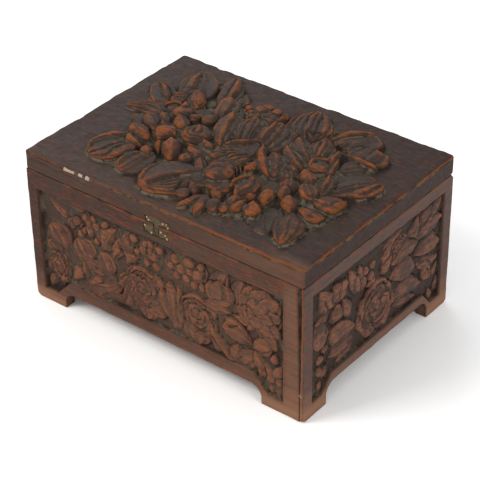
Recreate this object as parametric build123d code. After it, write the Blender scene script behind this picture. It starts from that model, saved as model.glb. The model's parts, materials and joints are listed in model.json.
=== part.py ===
from build123d import *
import math
import os

# A carved wooden jewelry box: four boards on bracket feet, a hinged lid with a
# bouquet in high relief, brass butt hinges, a brass clasp and a felt lining.
# Origin: centre of the outline, on the floor under the feet. Front is -Y, up is +Z.

# Overall size
box_width = 230.0
box_depth = 165.0
body_height = 103.6
seam_gap = 0.4
lid_thickness = 13.5
bouquet_rise = 9.5
lid_corner_radius = 2.5

# Wall boards
wall_thickness = 8.5
carving_depth = 3.5
recess_fillet = 3.0

# Bottom board, held in grooves
bottom_thickness = 5.0
bottom_z = 18.0
groove_depth = 3.0
groove_side_room = 0.3

# Felt lining
lining_thickness = 1.5
lining_top_z = 100.0
lid_lining_thickness = 2.0
lid_lining_inset = 2.5

# Hinges: the pin lies in a V-groove along the back of the seam
pin_inset = 2.5
pin_radius = 0.75
pin_running_clearance = 0.05
knuckle_radius = 1.6
knuckle_room = 0.3
knuckle_gap = 0.2
knuckle_count = 3
hinge_length = 30.0
hinge_x = 65.0
leaf_thickness = 1.3
leaf_reach = 5.3
lid_stop_angle = 55.0
body_stop_angle = 50.0

# Hinge screws
screw_offset = 3.4
screw_spacing = 10.0
screw_length = 7.0
screw_radius = 0.7
screw_head_radius = 1.4
screw_head_depth = 0.7
screw_slot_width = 0.35
screw_slot_depth = 0.3

# Clasp
plate_thickness = 0.8
plate_sink = 0.4
lid_plate_left, lid_plate_right = -10.0, 10.0
lid_plate_height = 4.4
body_plate_left, body_plate_right = -12.0, 9.0
body_plate_bottom, body_plate_top = 95.0, 101.6
tongue_x = -1.5
tongue_width = 3.6
tongue_bottom = 97.6
tongue_room = 0.35
nail_radius = 0.45
nail_length = 5.0
nail_head_radius = 0.85
lid_nails = [(-8.6, 107.0), (-7.2, 105.3), (4.6, 106.8), (7.4, 107.2), (8.6, 105.2)]
body_nails = [(-10.6, 100.2), (-5.4, 96.2), (2.6, 99.6), (6.2, 98.6), (7.6, 96.4)]

# Face layouts, measured on the outer face: across (left to right) and up
front_layout = {
    "recess": (-106.5, 99.0, 22.0, 90.5),
    "lobe_width": 11.5,
    "lobe_bottom": 9.0,
    "lobe_slope": 12.0,
    "arch": (-88.0, 82.0, 13.0),
}
side_layout = {
    "recess": (-73.0, 73.0, 22.0, 94.0),
    "lobe_width": 11.0,
    "lobe_bottom": 10.0,
    "lobe_slope": 10.0,
    "arch": (-58.0, 58.0, 15.0),
}
arch_corner_radius = 9.0

# How far a cutter runs past the face it cuts
overrun = 1.0

# Simplified carving: across, up, length, width, lean in degrees, rise above the ground
front_carving = [
    (-89, 61, 24, 17, 20, 2.4),
    (-69, 56, 26, 18, 10, 2.8),
    (-92, 38, 22, 17, 60, 2.2),
    (-60, 38, 44, 16, 35, 2.4),
    (-58, 77, 32, 14, 5, 2.0),
    (-32, 73, 30, 17, 130, 2.6),
    (-12, 80, 18, 13, 0, 2.0),
    (-17, 47, 36, 34, 90, 3.3),
    (7, 45, 36, 12, 75, 2.8),
    (20, 79, 24, 15, 0, 2.2),
    (28, 45, 32, 27, 90, 3.3),
    (49, 72, 22, 17, 40, 2.6),
    (78, 66, 48, 32, 70, 2.8),
    (52, 34, 30, 11, 140, 2.2),
    (72, 32, 22, 13, 20, 2.2),
    (91, 21, 24, 11, 90, 1.8),
]
side_carving = [
    (-62, 77, 22, 12, 70, 2.4),
    (-62, 57, 18, 15, 20, 2.6),
    (-46, 76, 22, 16, 60, 2.6),
    (-38, 47, 34, 17, 10, 2.8),
    (-62, 32, 16, 14, 60, 2.0),
    (-17, 76, 22, 18, 120, 2.4),
    (-2, 44, 40, 32, 100, 3.3),
    (9, 82, 26, 14, 30, 2.6),
    (26, 77, 22, 16, 100, 2.6),
    (29, 56, 32, 15, 165, 2.8),
    (36, 37, 34, 13, 10, 2.6),
    (58, 63, 30, 17, 160, 2.6),
    (60, 84, 24, 12, 150, 2.2),
    (58, 38, 20, 14, 130, 2.2),
]
lid_carving = [
    (-80, 57, 36, 16, 119, 3.0),
    (-54, 62, 34, 12, 112, 3.5),
    (-90, 30, 36, 14, 146, 3.0),
    (-86, 5, 28, 13, 172, 3.0),
    (-71, -42, 38, 20, 55, 4.0),
    (-47, -46, 32, 14, 62, 4.5),
    (-18, -52, 40, 26, 60, 5.5),
    (50, 58, 34, 17, 52, 3.5),
    (71, 42, 26, 18, 80, 3.0),
    (83, 12, 38, 17, 62, 4.0),
    (79, -55, 32, 13, 116, 3.5),
    (58, -54, 26, 14, 100, 4.0),
    (14, -60, 26, 30, 90, 4.0),
    (19, 55, 38, 18, 122, 6.0),
    (-44, 40, 26, 12, 108, 5.5),
    (-20, 15, 38, 18, 122, 7.0),
    (6, 26, 36, 18, 100, 7.5),
    (-66, 34, 30, 26, 120, 6.0),
    (-60, -8, 34, 30, 20, 6.0),
    (-37, -4, 20, 18, 0, 7.5),
    (-36, -24, 24, 15, 120, 6.0),
    (-12, 47, 28, 26, 0, 6.5),
    (42, 34, 32, 26, 110, 7.0),
    (48, 12, 34, 14, 150, 6.0),
    (17, -12, 58, 44, 118, 7.5),
    (10, -28, 20, 18, 0, 9.5),
    (70, -16, 40, 32, 0, 5.5),
    (42, -36, 30, 24, 90, 6.0),
]

# Places worked out from the sizes above
half_width = box_width / 2
half_depth = box_depth / 2
lid_z = body_height + seam_gap
ground_z = lid_z + lid_thickness
floor_z = bottom_z + bottom_thickness
room_width = box_width - 2 * wall_thickness
room_depth = box_depth - 2 * wall_thickness
pin_y = half_depth - pin_inset
pin_z = body_height + seam_gap / 2
screw_y = pin_y - screw_offset


def block(x0, x1, y0, y1, z0, z1):
    """A rectangular block between two corners."""
    return Pos(x0, y0, z0) * Box(x1 - x0, y1 - y0, z1 - z0, align=(Align.MIN, Align.MIN, Align.MIN))


def on_face(flat, depth_from, depth_to):
    """Extrude a shape drawn as across and up on a board's outer face, into the board."""
    return extrude(Plane.XZ.offset(-depth_from) * flat, amount=-(depth_to - depth_from))


def arch_opening(layout):
    """The opening between the two feet of a board."""
    left, right, height = layout["arch"]
    outline = Polyline(
        (left, -overrun), (right, -overrun), (right, height), (left, height), close=True
    )
    opening = make_face(outline)
    upper = opening.vertices().sort_by(Axis.Y)[-2:]
    return fillet(upper, arch_corner_radius)


def recess_outline(layout):
    """The sunk panel that holds the carving, with a lobe down into each foot."""
    left, right, bottom, top = layout["recess"]
    lobe, low, slope = layout["lobe_width"], layout["lobe_bottom"], layout["lobe_slope"]
    outline = Polyline(
        (left, top),
        (right, top),
        (right, low),
        (right - lobe, low),
        (right - lobe - slope, bottom),
        (left + lobe + slope, bottom),
        (left + lobe, low),
        (left, low),
        close=True,
    )
    panel = make_face(outline)
    return fillet(panel.vertices(), recess_fillet)


def carved_form(length, width, lean):
    """The outline of one leaf, petal or flower."""
    return Rot(0, 0, lean) * Ellipse(length / 2, width / 2)


def wall_board(length, layout, carving, flipped=False):
    """One wall, outer face on y = 0, inner face at y = wall_thickness, centred on x = 0."""
    end = length / 2
    footprint = Polyline(
        (-end, 0),
        (end, 0),
        (end - wall_thickness, wall_thickness),
        (-end + wall_thickness, wall_thickness),
        close=True,
    )
    board = extrude(make_face(footprint), amount=body_height)
    board -= on_face(arch_opening(layout), -overrun, wall_thickness + overrun)
    recess = recess_outline(layout)
    board -= on_face(recess, -overrun, carving_depth)
    for across, up, form_length, form_width, lean, rise in carving:
        form = Pos(across, up) * carved_form(form_length, form_width, lean)
        kept = (form & recess).faces()
        board += on_face(Sketch(kept), carving_depth - rise, carving_depth)
    board -= block(
        -end, end, wall_thickness - groove_depth, wall_thickness + overrun, bottom_z, floor_z
    )
    if flipped:
        board = mirror(board, about=Plane.YZ)
    return board


def bottom_board():
    """The bottom, a plain board in the grooves of the four walls."""
    grow = groove_depth - groove_side_room
    return block(
        -room_width / 2 - grow,
        room_width / 2 + grow,
        -room_depth / 2 - grow,
        room_depth / 2 + grow,
        bottom_z,
        floor_z,
    )


def back_bevel(start_z, angle, direction):
    """The wedge taken off a rear arris beside the pin, so that the lid stops when open."""
    run = pin_inset + overrun
    wedge = Polyline(
        (pin_y, start_z),
        (pin_y + run, start_z),
        (pin_y + run, start_z + direction * run * math.tan(math.radians(angle))),
        close=True,
    )
    face = Plane.YZ.offset(-half_width - overrun) * make_face(wedge)
    return extrude(face, amount=box_width + 2 * overrun)


def lid_board():
    """The lid: a thick board with the bouquet standing above its ground."""
    board = block(-half_width, half_width, -half_depth, half_depth, lid_z, ground_z)
    board = fillet(board.edges().filter_by(Axis.Z), lid_corner_radius)
    for across, up, length, width, lean, rise in lid_carving:
        form = Pos(across, up, ground_z) * carved_form(length, width, lean)
        board += extrude(form, amount=rise)
    board -= back_bevel(lid_z, lid_stop_angle, 1)
    return board


def knuckle_slots():
    """Start and end of each hinge knuckle along the pin, from the hinge's centre."""
    pitch = hinge_length / knuckle_count
    slots = []
    for index in range(knuckle_count):
        start = -hinge_length / 2 + index * pitch
        slots.append((start + knuckle_gap / 2, start + pitch - knuckle_gap / 2))
    return slots


def along_pin(radius, start, end):
    """A cylinder round the hinge pin's axis."""
    disc = Plane.YZ.offset(start) * (Pos(pin_y, pin_z) * Circle(radius))
    return extrude(disc, amount=end - start)


def hinge_leaf(x, side, bore_radius):
    """One leaf with its knuckles: side 1 is screwed to the lid, side -1 to the body."""
    half = hinge_length / 2
    near = pin_z + side * seam_gap / 2
    far = near + side * leaf_thickness
    plate = block(
        x - half, x + half, pin_y - leaf_reach, pin_y, min(near, far), max(near, far)
    )
    for index, (start, end) in enumerate(knuckle_slots()):
        own = index % 2 == (1 if side > 0 else 0)
        if own:
            plate += along_pin(knuckle_radius, x + start, x + end)
        else:
            cut_radius = knuckle_radius + knuckle_room
            plate -= along_pin(cut_radius, x + start - knuckle_gap, x + end + knuckle_gap)
    plate -= along_pin(bore_radius, x - half - overrun, x + half + overrun)
    return plate


def hinge_mortise(x, side):
    """The pocket in the wood for one leaf and for the turning knuckles."""
    half = hinge_length / 2
    near = pin_z
    far = pin_z + side * (seam_gap / 2 + leaf_thickness)
    pocket = block(
        x - half, x + half, pin_y - leaf_reach, pin_y, min(near, far), max(near, far)
    )
    return pocket + along_pin(knuckle_radius + knuckle_room, x - half, x + half)


def screw_blank(x, side):
    """A countersunk wood screw, driven away from the seam."""
    head = Cone(
        screw_radius, screw_head_radius, screw_head_depth, align=(Align.CENTER, Align.CENTER, Align.MAX)
    )
    shank = Cylinder(
        screw_radius, screw_length, align=(Align.CENTER, Align.CENTER, Align.MAX)
    )
    screw = head + shank
    if side > 0:
        screw = Rot(180, 0, 0) * screw
    return Pos(x, screw_y, pin_z + side * seam_gap / 2) * screw


def slotted(screw, x, side):
    """The same screw with its driver slot."""
    face_z = pin_z + side * seam_gap / 2
    slot = Pos(x, screw_y, face_z) * Box(
        2 * screw_head_radius, screw_slot_width, 2 * screw_slot_depth
    )
    return screw - slot


def screw_places():
    """Where the screws stand along the box: two in each leaf."""
    places = []
    for hinge in (-hinge_x, hinge_x):
        for offset in (-screw_spacing, screw_spacing):
            places.append(hinge + offset)
    return places


def clasp_nail(x, z):
    """A round-headed brass nail driven into the front."""
    face = -half_depth + plate_sink
    shank = Plane.XZ.offset(-face) * (Pos(x, z) * Circle(nail_radius))
    head = Pos(x, face, z) * Sphere(nail_head_radius)
    cap = head & block(
        x - nail_head_radius, x + nail_head_radius,
        face - plate_sink, face,
        z - nail_head_radius, z + nail_head_radius,
    )
    return extrude(shank, amount=-nail_length) + cap


def clasp_plate(left, right, bottom, top):
    """A thin plate let into the front."""
    face = -half_depth + plate_sink
    return block(left, right, face, face + plate_thickness, bottom, top)


def clasp_pocket(left, right, bottom, top, extra=0.0):
    """The pocket in the wood under a clasp plate."""
    floor = -half_depth + plate_sink + plate_thickness + extra
    return block(left, right, -half_depth - overrun, floor, bottom, top)


def group(solids):
    """Several separate solids in one node."""
    return Compound(children=list(solids))


tongue_left = tongue_x - tongue_width / 2
tongue_right = tongue_x + tongue_width / 2
tongue_space = (
    tongue_left - tongue_room,
    tongue_right + tongue_room,
    tongue_bottom - tongue_room,
    body_height + overrun,
)

lid_screw_blanks = [(x, screw_blank(x, 1)) for x in screw_places()]
body_screw_blanks = [(x, screw_blank(x, -1)) for x in screw_places()]
lid_clasp_nails = [clasp_nail(x, z) for x, z in lid_nails]
body_clasp_nails = [clasp_nail(x, z) for x, z in body_nails]

nodes = {}

# Walls
front = Pos(0, -half_depth, 0) * wall_board(box_width, front_layout, front_carving)
back = Pos(0, half_depth, 0) * Rot(0, 0, 180) * wall_board(box_width, front_layout, front_carving, True)
right = Pos(half_width, 0, 0) * Rot(0, 0, 90) * wall_board(box_depth, side_layout, side_carving)
left = Pos(-half_width, 0, 0) * Rot(0, 0, -90) * wall_board(box_depth, side_layout, side_carving, True)

front -= clasp_pocket(body_plate_left, body_plate_right, body_plate_bottom, body_plate_top)
front -= clasp_pocket(*tongue_space, extra=tongue_room)
for nail in body_clasp_nails:
    front -= nail
rear_cut = back_bevel(body_height, body_stop_angle, -1)
back -= rear_cut
left -= rear_cut
right -= rear_cut
for x in (-hinge_x, hinge_x):
    back -= hinge_mortise(x, -1)
for x, screw in body_screw_blanks:
    back -= screw
nodes["front_board"] = front
nodes["back_board"] = back
nodes["left_board"] = left
nodes["right_board"] = right
nodes["bottom_board"] = bottom_board()

# Lid
lid = lid_board()
lid -= clasp_pocket(lid_plate_left, lid_plate_right, lid_z - overrun, lid_z + lid_plate_height)
for x in (-hinge_x, hinge_x):
    lid -= hinge_mortise(x, 1)
for x, screw in lid_screw_blanks:
    lid -= screw
for nail in lid_clasp_nails:
    lid -= nail
nodes["lid_board"] = lid

# Hinges
for name, x in (("left", -hinge_x), ("right", hinge_x)):
    body_leaf = hinge_leaf(x, -1, pin_radius)
    lid_leaf = hinge_leaf(x, 1, pin_radius + pin_running_clearance)
    for place, screw in body_screw_blanks:
        body_leaf -= screw
    for place, screw in lid_screw_blanks:
        lid_leaf -= screw
    nodes[f"{name}_hinge_body_leaf"] = body_leaf
    nodes[f"{name}_hinge_lid_leaf"] = lid_leaf
    nodes[f"{name}_hinge_pin"] = along_pin(
        pin_radius, x - hinge_length / 2, x + hinge_length / 2
    )
nodes["hinge_lid_screws"] = group(slotted(screw, x, 1) for x, screw in lid_screw_blanks)
nodes["hinge_body_screws"] = group(slotted(screw, x, -1) for x, screw in body_screw_blanks)

# Clasp
lid_plate = clasp_plate(lid_plate_left, lid_plate_right, lid_z, lid_z + lid_plate_height)
lid_plate += clasp_plate(tongue_left, tongue_right, tongue_bottom, lid_z)
body_plate = clasp_plate(body_plate_left, body_plate_right, body_plate_bottom, body_plate_top)
body_plate -= clasp_pocket(*tongue_space)
for nail in lid_clasp_nails:
    lid_plate -= nail
for nail in body_clasp_nails:
    body_plate -= nail
nodes["clasp_lid_plate"] = lid_plate
nodes["clasp_body_plate"] = body_plate
nodes["clasp_lid_nails"] = group(lid_clasp_nails)
nodes["clasp_body_nails"] = group(body_clasp_nails)

# Lining
inner_x = room_width / 2
inner_y = room_depth / 2
lined_z = floor_z + lining_thickness
nodes["floor_lining"] = block(-inner_x, inner_x, -inner_y, inner_y, floor_z, lined_z)
for name, sign in (("front", -1), ("back", 1)):
    near, far = sorted((sign * inner_y, sign * (inner_y - lining_thickness)))
    nodes[f"{name}_lining"] = block(-inner_x, inner_x, near, far, lined_z, lining_top_z)
side_lining_y = inner_y - lining_thickness
for name, sign in (("left", -1), ("right", 1)):
    near, far = sorted((sign * inner_x, sign * (inner_x - lining_thickness)))
    nodes[f"{name}_lining"] = block(
        near, far, -side_lining_y, side_lining_y, lined_z, lining_top_z
    )
nodes["lid_lining"] = block(
    -inner_x + lid_lining_inset,
    inner_x - lid_lining_inset,
    -inner_y + lid_lining_inset,
    inner_y - lid_lining_inset,
    lid_z - lid_lining_thickness,
    lid_z,
)

os.makedirs("parts", exist_ok=True)
for name, shape in nodes.items():
    export_step(shape, f"parts/{name}.step")
    print(name, round(shape.volume, 1))
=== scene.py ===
import json
import math

import bpy
import bmesh
import numpy as np
from mathutils import Matrix, Vector


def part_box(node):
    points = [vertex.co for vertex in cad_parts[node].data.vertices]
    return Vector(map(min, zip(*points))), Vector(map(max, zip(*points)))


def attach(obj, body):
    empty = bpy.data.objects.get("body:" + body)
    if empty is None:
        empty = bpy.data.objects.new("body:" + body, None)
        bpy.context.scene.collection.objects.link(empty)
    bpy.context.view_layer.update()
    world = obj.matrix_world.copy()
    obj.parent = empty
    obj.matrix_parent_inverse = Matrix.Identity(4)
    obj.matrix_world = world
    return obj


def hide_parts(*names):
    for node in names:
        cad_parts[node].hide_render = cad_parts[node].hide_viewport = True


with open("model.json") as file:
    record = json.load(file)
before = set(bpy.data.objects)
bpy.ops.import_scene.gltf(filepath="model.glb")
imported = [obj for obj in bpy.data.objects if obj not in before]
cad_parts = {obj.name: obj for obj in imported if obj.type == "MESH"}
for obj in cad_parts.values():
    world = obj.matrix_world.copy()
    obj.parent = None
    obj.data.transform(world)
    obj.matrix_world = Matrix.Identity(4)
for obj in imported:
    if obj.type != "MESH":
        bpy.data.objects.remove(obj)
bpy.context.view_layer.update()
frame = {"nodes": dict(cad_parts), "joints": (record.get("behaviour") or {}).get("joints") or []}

# Lengths in this script are millimetres unless a name says otherwise; MM turns them into metres.
MM = 0.001
SEED = 7


# ---------------------------------------------------------------- sizes, from the frame

def node_box(node):
    """Lowest and highest corner of a CAD node, in millimetres."""
    low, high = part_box(node)
    return [v / MM for v in low], [v / MM for v in high]


FRONT_LOW, FRONT_HIGH = node_box("front_board")
LID_LOW, LID_HIGH = node_box("lid_board")
WIDTH = FRONT_HIGH[0] - FRONT_LOW[0]
DEPTH = LID_HIGH[1] - LID_LOW[1]
WALL = FRONT_HIGH[1] - FRONT_LOW[1]
BODY_TOP = FRONT_HIGH[2]
LID_BOTTOM = LID_LOW[2]
LID_THICK = 13.5
GROUND = LID_BOTTOM + LID_THICK
BOUQUET_RISE = LID_HIGH[2] - GROUND
HINGE = frame["joints"][0]
PIN_Y = HINGE["pos_m"][1] / MM
PIN_Z = HINGE["pos_m"][2] / MM

CARVING_DEPTH = 3.5
LID_CORNER = 2.5
BODY_BEVEL = math.tan(math.radians(50))
LID_BEVEL = math.tan(math.radians(55))

# Each wall as seen from outside: across runs left to right, up from the floor.
FRONT_FACE = {
    "recess": (-106.5, 99.0, 22.0, 90.5),
    "lobe_width": 11.5,
    "lobe_bottom": 9.0,
    "lobe_slope": 12.0,
    "arch": (-88.0, 82.0, 13.0),
}
SIDE_FACE = {
    "recess": (-73.0, 73.0, 22.0, 94.0),
    "lobe_width": 11.0,
    "lobe_bottom": 10.0,
    "lobe_slope": 10.0,
    "arch": (-58.0, 58.0, 15.0),
}
ARCH_RADIUS = 9.0


# ---------------------------------------------------------------- numbers on grids

def smooth(x, low, high):
    """0 below low, 1 above high, and smooth between."""
    t = np.clip((x - low) / (high - low), 0, 1)
    return t * t * (3 - 2 * t)


def blur(grid, sigma):
    """Gaussian blur of a grid, sigma in cells."""
    reach = max(1, int(3 * sigma))
    taps = np.exp(-0.5 * (np.arange(-reach, reach + 1) / sigma) ** 2)
    taps /= taps.sum()
    for axis in (0, 1):
        pad = [(0, 0), (0, 0)]
        pad[axis] = (reach, reach)
        wide = np.pad(grid, pad, mode="edge")
        total = np.zeros_like(grid)
        length = grid.shape[axis]
        for i, tap in enumerate(taps):
            piece = wide[i:i + length] if axis == 0 else wide[:, i:i + length]
            total += tap * piece
        grid = total
    return grid


def speckle(shape, cell, seed):
    """Smooth random numbers about 0, with blotches about cell grid steps wide."""
    rng = np.random.default_rng(seed)
    rows = max(2, int(shape[0] / cell) + 2)
    cols = max(2, int(shape[1] / cell) + 2)
    coarse = rng.normal(size=(rows, cols))
    y = np.linspace(0, rows - 1.001, shape[0])
    x = np.linspace(0, cols - 1.001, shape[1])
    y0, x0 = y.astype(int), x.astype(int)
    fy, fx = (y - y0)[:, None], (x - x0)[None, :]
    fy, fx = fy * fy * (3 - 2 * fy), fx * fx * (3 - 2 * fx)
    top = coarse[np.ix_(y0, x0)] * (1 - fx) + coarse[np.ix_(y0, x0 + 1)] * fx
    low = coarse[np.ix_(y0 + 1, x0)] * (1 - fx) + coarse[np.ix_(y0 + 1, x0 + 1)] * fx
    return top * (1 - fy) + low * fy


EDGE_LINES = (0.25, 0.6, 1.1, 1.7)


def fine_axis(low, high, step):
    """Grid lines from low to high, closer together at both ends."""
    start, stop = low + EDGE_LINES[-1], high - EDGE_LINES[-1]
    count = max(2, int(round((stop - start) / step)))
    middle = np.linspace(start, stop, count + 1)
    near = np.array([low] + [low + c for c in EDGE_LINES[:-1]])
    far = np.array([high - c for c in reversed(EDGE_LINES[:-1])] + [high])
    return np.concatenate([near, middle, far])


# ---------------------------------------------------------------- carving tools

class Carving:
    """A carved face as heights above its ground, over across and up in millimetres."""

    TRENCH = 0.9      # width of the groove cut beside a form
    DROOP = 0.22      # share of its height that a leaf loses towards its sides
    LEAN = 0.8        # how far a broad leaf tilts to one side, each its own way
    WANDER = 0.4      # how far a hand-cut outline strays
    SOFTNESS = 0.2    # how far handling has rounded the edges

    def __init__(self, across, up, step, seed, floor=0.0, grow=1.0, lip=1.7, slope=0.9):
        """lip and slope say how steeply a form may rise from what is under its outline."""
        self.across, self.up = [
            place + self.WANDER * speckle(across.shape, 6.0 / step, seed + k)
            + 0.25 * self.WANDER * speckle(across.shape, 2.4 / step, seed + k + 2)
            for k, place in enumerate((across, up))
        ]
        self.height = np.zeros_like(across)
        self.step = step
        self.floor = floor
        self.grow = grow
        self.lip, self.slope = lip, slope
        self.row_low, self.row_high = up.min(1), up.max(1)
        self.col_low, self.col_high = across.min(0), across.max(0)

    def near(self, x, y, reach):
        """The part of the grid within reach of a point."""
        rows = np.flatnonzero((self.row_high > y - reach) & (self.row_low < y + reach))
        cols = np.flatnonzero((self.col_high > x - reach) & (self.col_low < x + reach))
        if not len(rows) or not len(cols):
            return slice(0, 1), slice(0, 1)
        return slice(rows[0], rows[-1] + 1), slice(cols[0], cols[-1] + 1)

    def lay(self, part, inside, surface, edge=0.5, trench=0.7, root=0.0):
        """Lays a form over what is there. inside is the distance in from its outline, and where
        root is 1 the form dives under what is there."""
        before = self.height[part]
        beside = (inside > -self.TRENCH) & (inside <= 0)
        cut = trench * (1 + inside / self.TRENCH) * (1 - root)
        height = np.where(beside, np.maximum(before - cut, self.floor), before)
        under = blur(height, 3.0 / self.step)
        surface = np.minimum(surface, under + self.lip + self.slope * np.clip(inside, 0, None))
        share = np.sin(np.clip(inside / edge, 0, 1) * math.pi / 2)
        laid = height + (surface - height) * share
        self.height[part] = laid + np.clip(before - laid, 0, None) * root

    def leaf(self, base, tip, width, rise, bend=0.0, belly=0.45, point=0.75, crown=0.0, cup=0.0,
             fold=0.0, vein=0.0, ribs=0, rib_depth=0.3, roll=0.0, edge=0.5, trench=0.7):
        """A leaf or petal from base to tip. rise is its height at base and tip; crown domes it,
        cup lifts its edges, fold lifts its left side, vein cuts the midrib, and grooves part
        the ribs that run along it."""
        bx, by = base
        length = math.hypot(tip[0] - bx, tip[1] - by)
        part = self.near((bx + tip[0]) / 2, (by + tip[1]) / 2, length / 2 + width + abs(bend) + 2)
        ax, ay = (tip[0] - bx) / length, (tip[1] - by) / length
        x, y = self.across[part] - bx, self.up[part] - by
        along = (x * ax + y * ay) / length
        t = np.clip(along, 0.001, 0.999)
        side = y * ax - x * ay - bend * 4 * t * (1 - t)
        point = point * 1.2 if belly <= 0.5 else point
        low_power = point * belly / (1 - belly)
        wide = 0.5 * width * self.grow * (t / belly) ** low_power * ((1 - t) / (1 - belly)) ** point
        slope = wide * (low_power / t - point / (1 - t)) / length
        inside = (wide - np.abs(side)) / np.sqrt(1 + slope * slope)
        past = np.maximum(-along, along - 1) * length
        inside = np.where(past > 0, -past - np.abs(side) * 0.5, inside)
        q = np.clip(side / np.maximum(wide, 0.3), -1.2, 1.2)
        root = 1 - smooth(t, 0.08, 0.38)
        z = rise[0] + (rise[1] - rise[0]) * t - 1.3 * root
        droop = self.DROOP * z * (0.4 if cup else 1.0)
        lean = self.LEAN * math.sin(bx * 12.9 + by * 7.3) * min(1.0, width / 10)
        z = z + 1.25 * crown * (1 - np.abs(q) ** 1.35) + cup * q * q - droop * q * q
        z = z + (fold + lean) * q
        z = z - vein * np.exp(-(side / 0.6) ** 2)
        z = z + min(0.17, 0.016 * width) * np.cos(3 * math.pi * q + 2.0 * t)
        if ribs:
            off = np.mod(ribs * (q + 1) / 2, 1) - 0.5
            z = z + rib_depth * (0.5 - 2.2 * np.exp(-(off / 0.17) ** 2))
        z = z + roll * np.exp(-((1 - np.abs(q)) / 0.18) ** 2)
        self.lay(part, inside, z, edge, trench, root)

    def petal(self, base, tip, width, rise, **more):
        """A petal: widest near its rounded tip."""
        more.setdefault("belly", 0.57)
        more.setdefault("point", 0.6)
        self.leaf(base, tip, width, rise, **more)

    def ball(self, centre, radius, base, top, squash=1.0, turn=0.0, dimple=0.0, edge=0.5):
        """A berry or bud: a dome, longer one way if squash is over 1."""
        radius = radius * self.grow
        part = self.near(*centre, radius * max(squash, 1) + 2)
        c, s = math.cos(math.radians(turn)), math.sin(math.radians(turn))
        dx, dy = self.across[part] - centre[0], self.up[part] - centre[1]
        u = (dx * c + dy * s) / squash
        v = -dx * s + dy * c
        r = np.sqrt(u * u + v * v)
        dome = np.sqrt(np.clip(1 - (r / radius) ** 2, 0, 1))
        facet = 0.10 * (top - base) * np.cos(3 * np.arctan2(v, u) + centre[0])
        facet = facet * np.clip(r / radius, 0, 1)
        z = base + (top - base) * dome + facet
        z = z - dimple * np.exp(-(r / (0.28 * radius)) ** 2)
        self.lay(part, radius - r, z, edge)

    def arc(self, centre, radius, width, start, end, rise, tilt=0.0):
        """A curled petal rim: a ridge along an arc, from start to end in degrees."""
        part = self.near(*centre, radius + width + 2)
        dx, dy = self.across[part] - centre[0], self.up[part] - centre[1]
        r = np.hypot(dx, dy)
        middle = math.radians((start + end) / 2)
        half = math.radians((end - start) / 2)
        turn = np.angle(np.exp(1j * (np.arctan2(dy, dx) - middle)))
        share = np.clip(1 - (np.abs(turn) / half) ** 2, 0, 1)
        wide = 0.5 * width * np.sqrt(share)
        off = r - radius
        inside = np.where(share > 0, wide - np.abs(off), -np.abs(off) - 1)
        q = np.clip(off / np.maximum(wide, 0.3), -1, 1)
        z = rise * (0.8 + 0.2 * share) + tilt * q - 0.18 * rise * q * q
        self.lay(part, inside, z, 0.6)

    def rose(self, centre, radius, base, top, turn=0.0, squash=1.0):
        """An open rose: three rings of overlapping petals round a rolled heart."""
        cx, cy = centre
        step = top - base
        rings = [(5, 1.0, 0.98, 0.25), (5, 0.74, 0.78, 0.55), (3, 0.48, 0.62, 0.85)]
        for ring, (count, reach, wide, share) in enumerate(rings):
            for k in range(count):
                angle = math.radians(turn + ring * 37 + 360 * k / count)
                out = radius * reach
                tip = (cx + squash * out * math.cos(angle), cy + out * math.sin(angle))
                lift = base + step * share
                self.petal((cx, cy), tip, radius * wide * 1.15, (lift, lift - 0.12 * step), cup=0.5,
                           roll=0.45, belly=0.62, point=0.4, edge=0.6, fold=0.45)
        part = self.near(cx, cy, radius)
        dx, dy = (self.across[part] - cx) / squash, self.up[part] - cy
        r = np.hypot(dx, dy)
        heart = radius * 0.27
        swirl = np.cos(2 * np.arctan2(dy, dx) - r / heart * 6.0)
        z = top - 0.35 * step * (r / heart) ** 2 + 0.35 * swirl
        self.lay(part, heart - r, z, 0.7)

    def mound(self, centre, radius, squash, top):
        """Raised wood between the forms, fading out at its edge."""
        r = np.hypot((self.across - centre[0]) / squash, self.up - centre[1]) / radius
        self.height = np.maximum(self.height, top * smooth(1 - r, 0, 0.4))

    def settle(self, step, seed, chisel=0.15):
        """Softens the edges as years of handling do, and leaves shallow tool marks."""
        carved = smooth(self.height, 0.3, 1.2)
        marks = speckle(self.height.shape, 2.8 / step, SEED + seed)
        fine = speckle(self.height.shape, 1.2 / step, SEED + seed + 1)
        self.height = blur(self.height, self.SOFTNESS / step)
        self.height = self.height + carved * (chisel * 0.7 * marks + chisel * 0.35 * fine)


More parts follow.
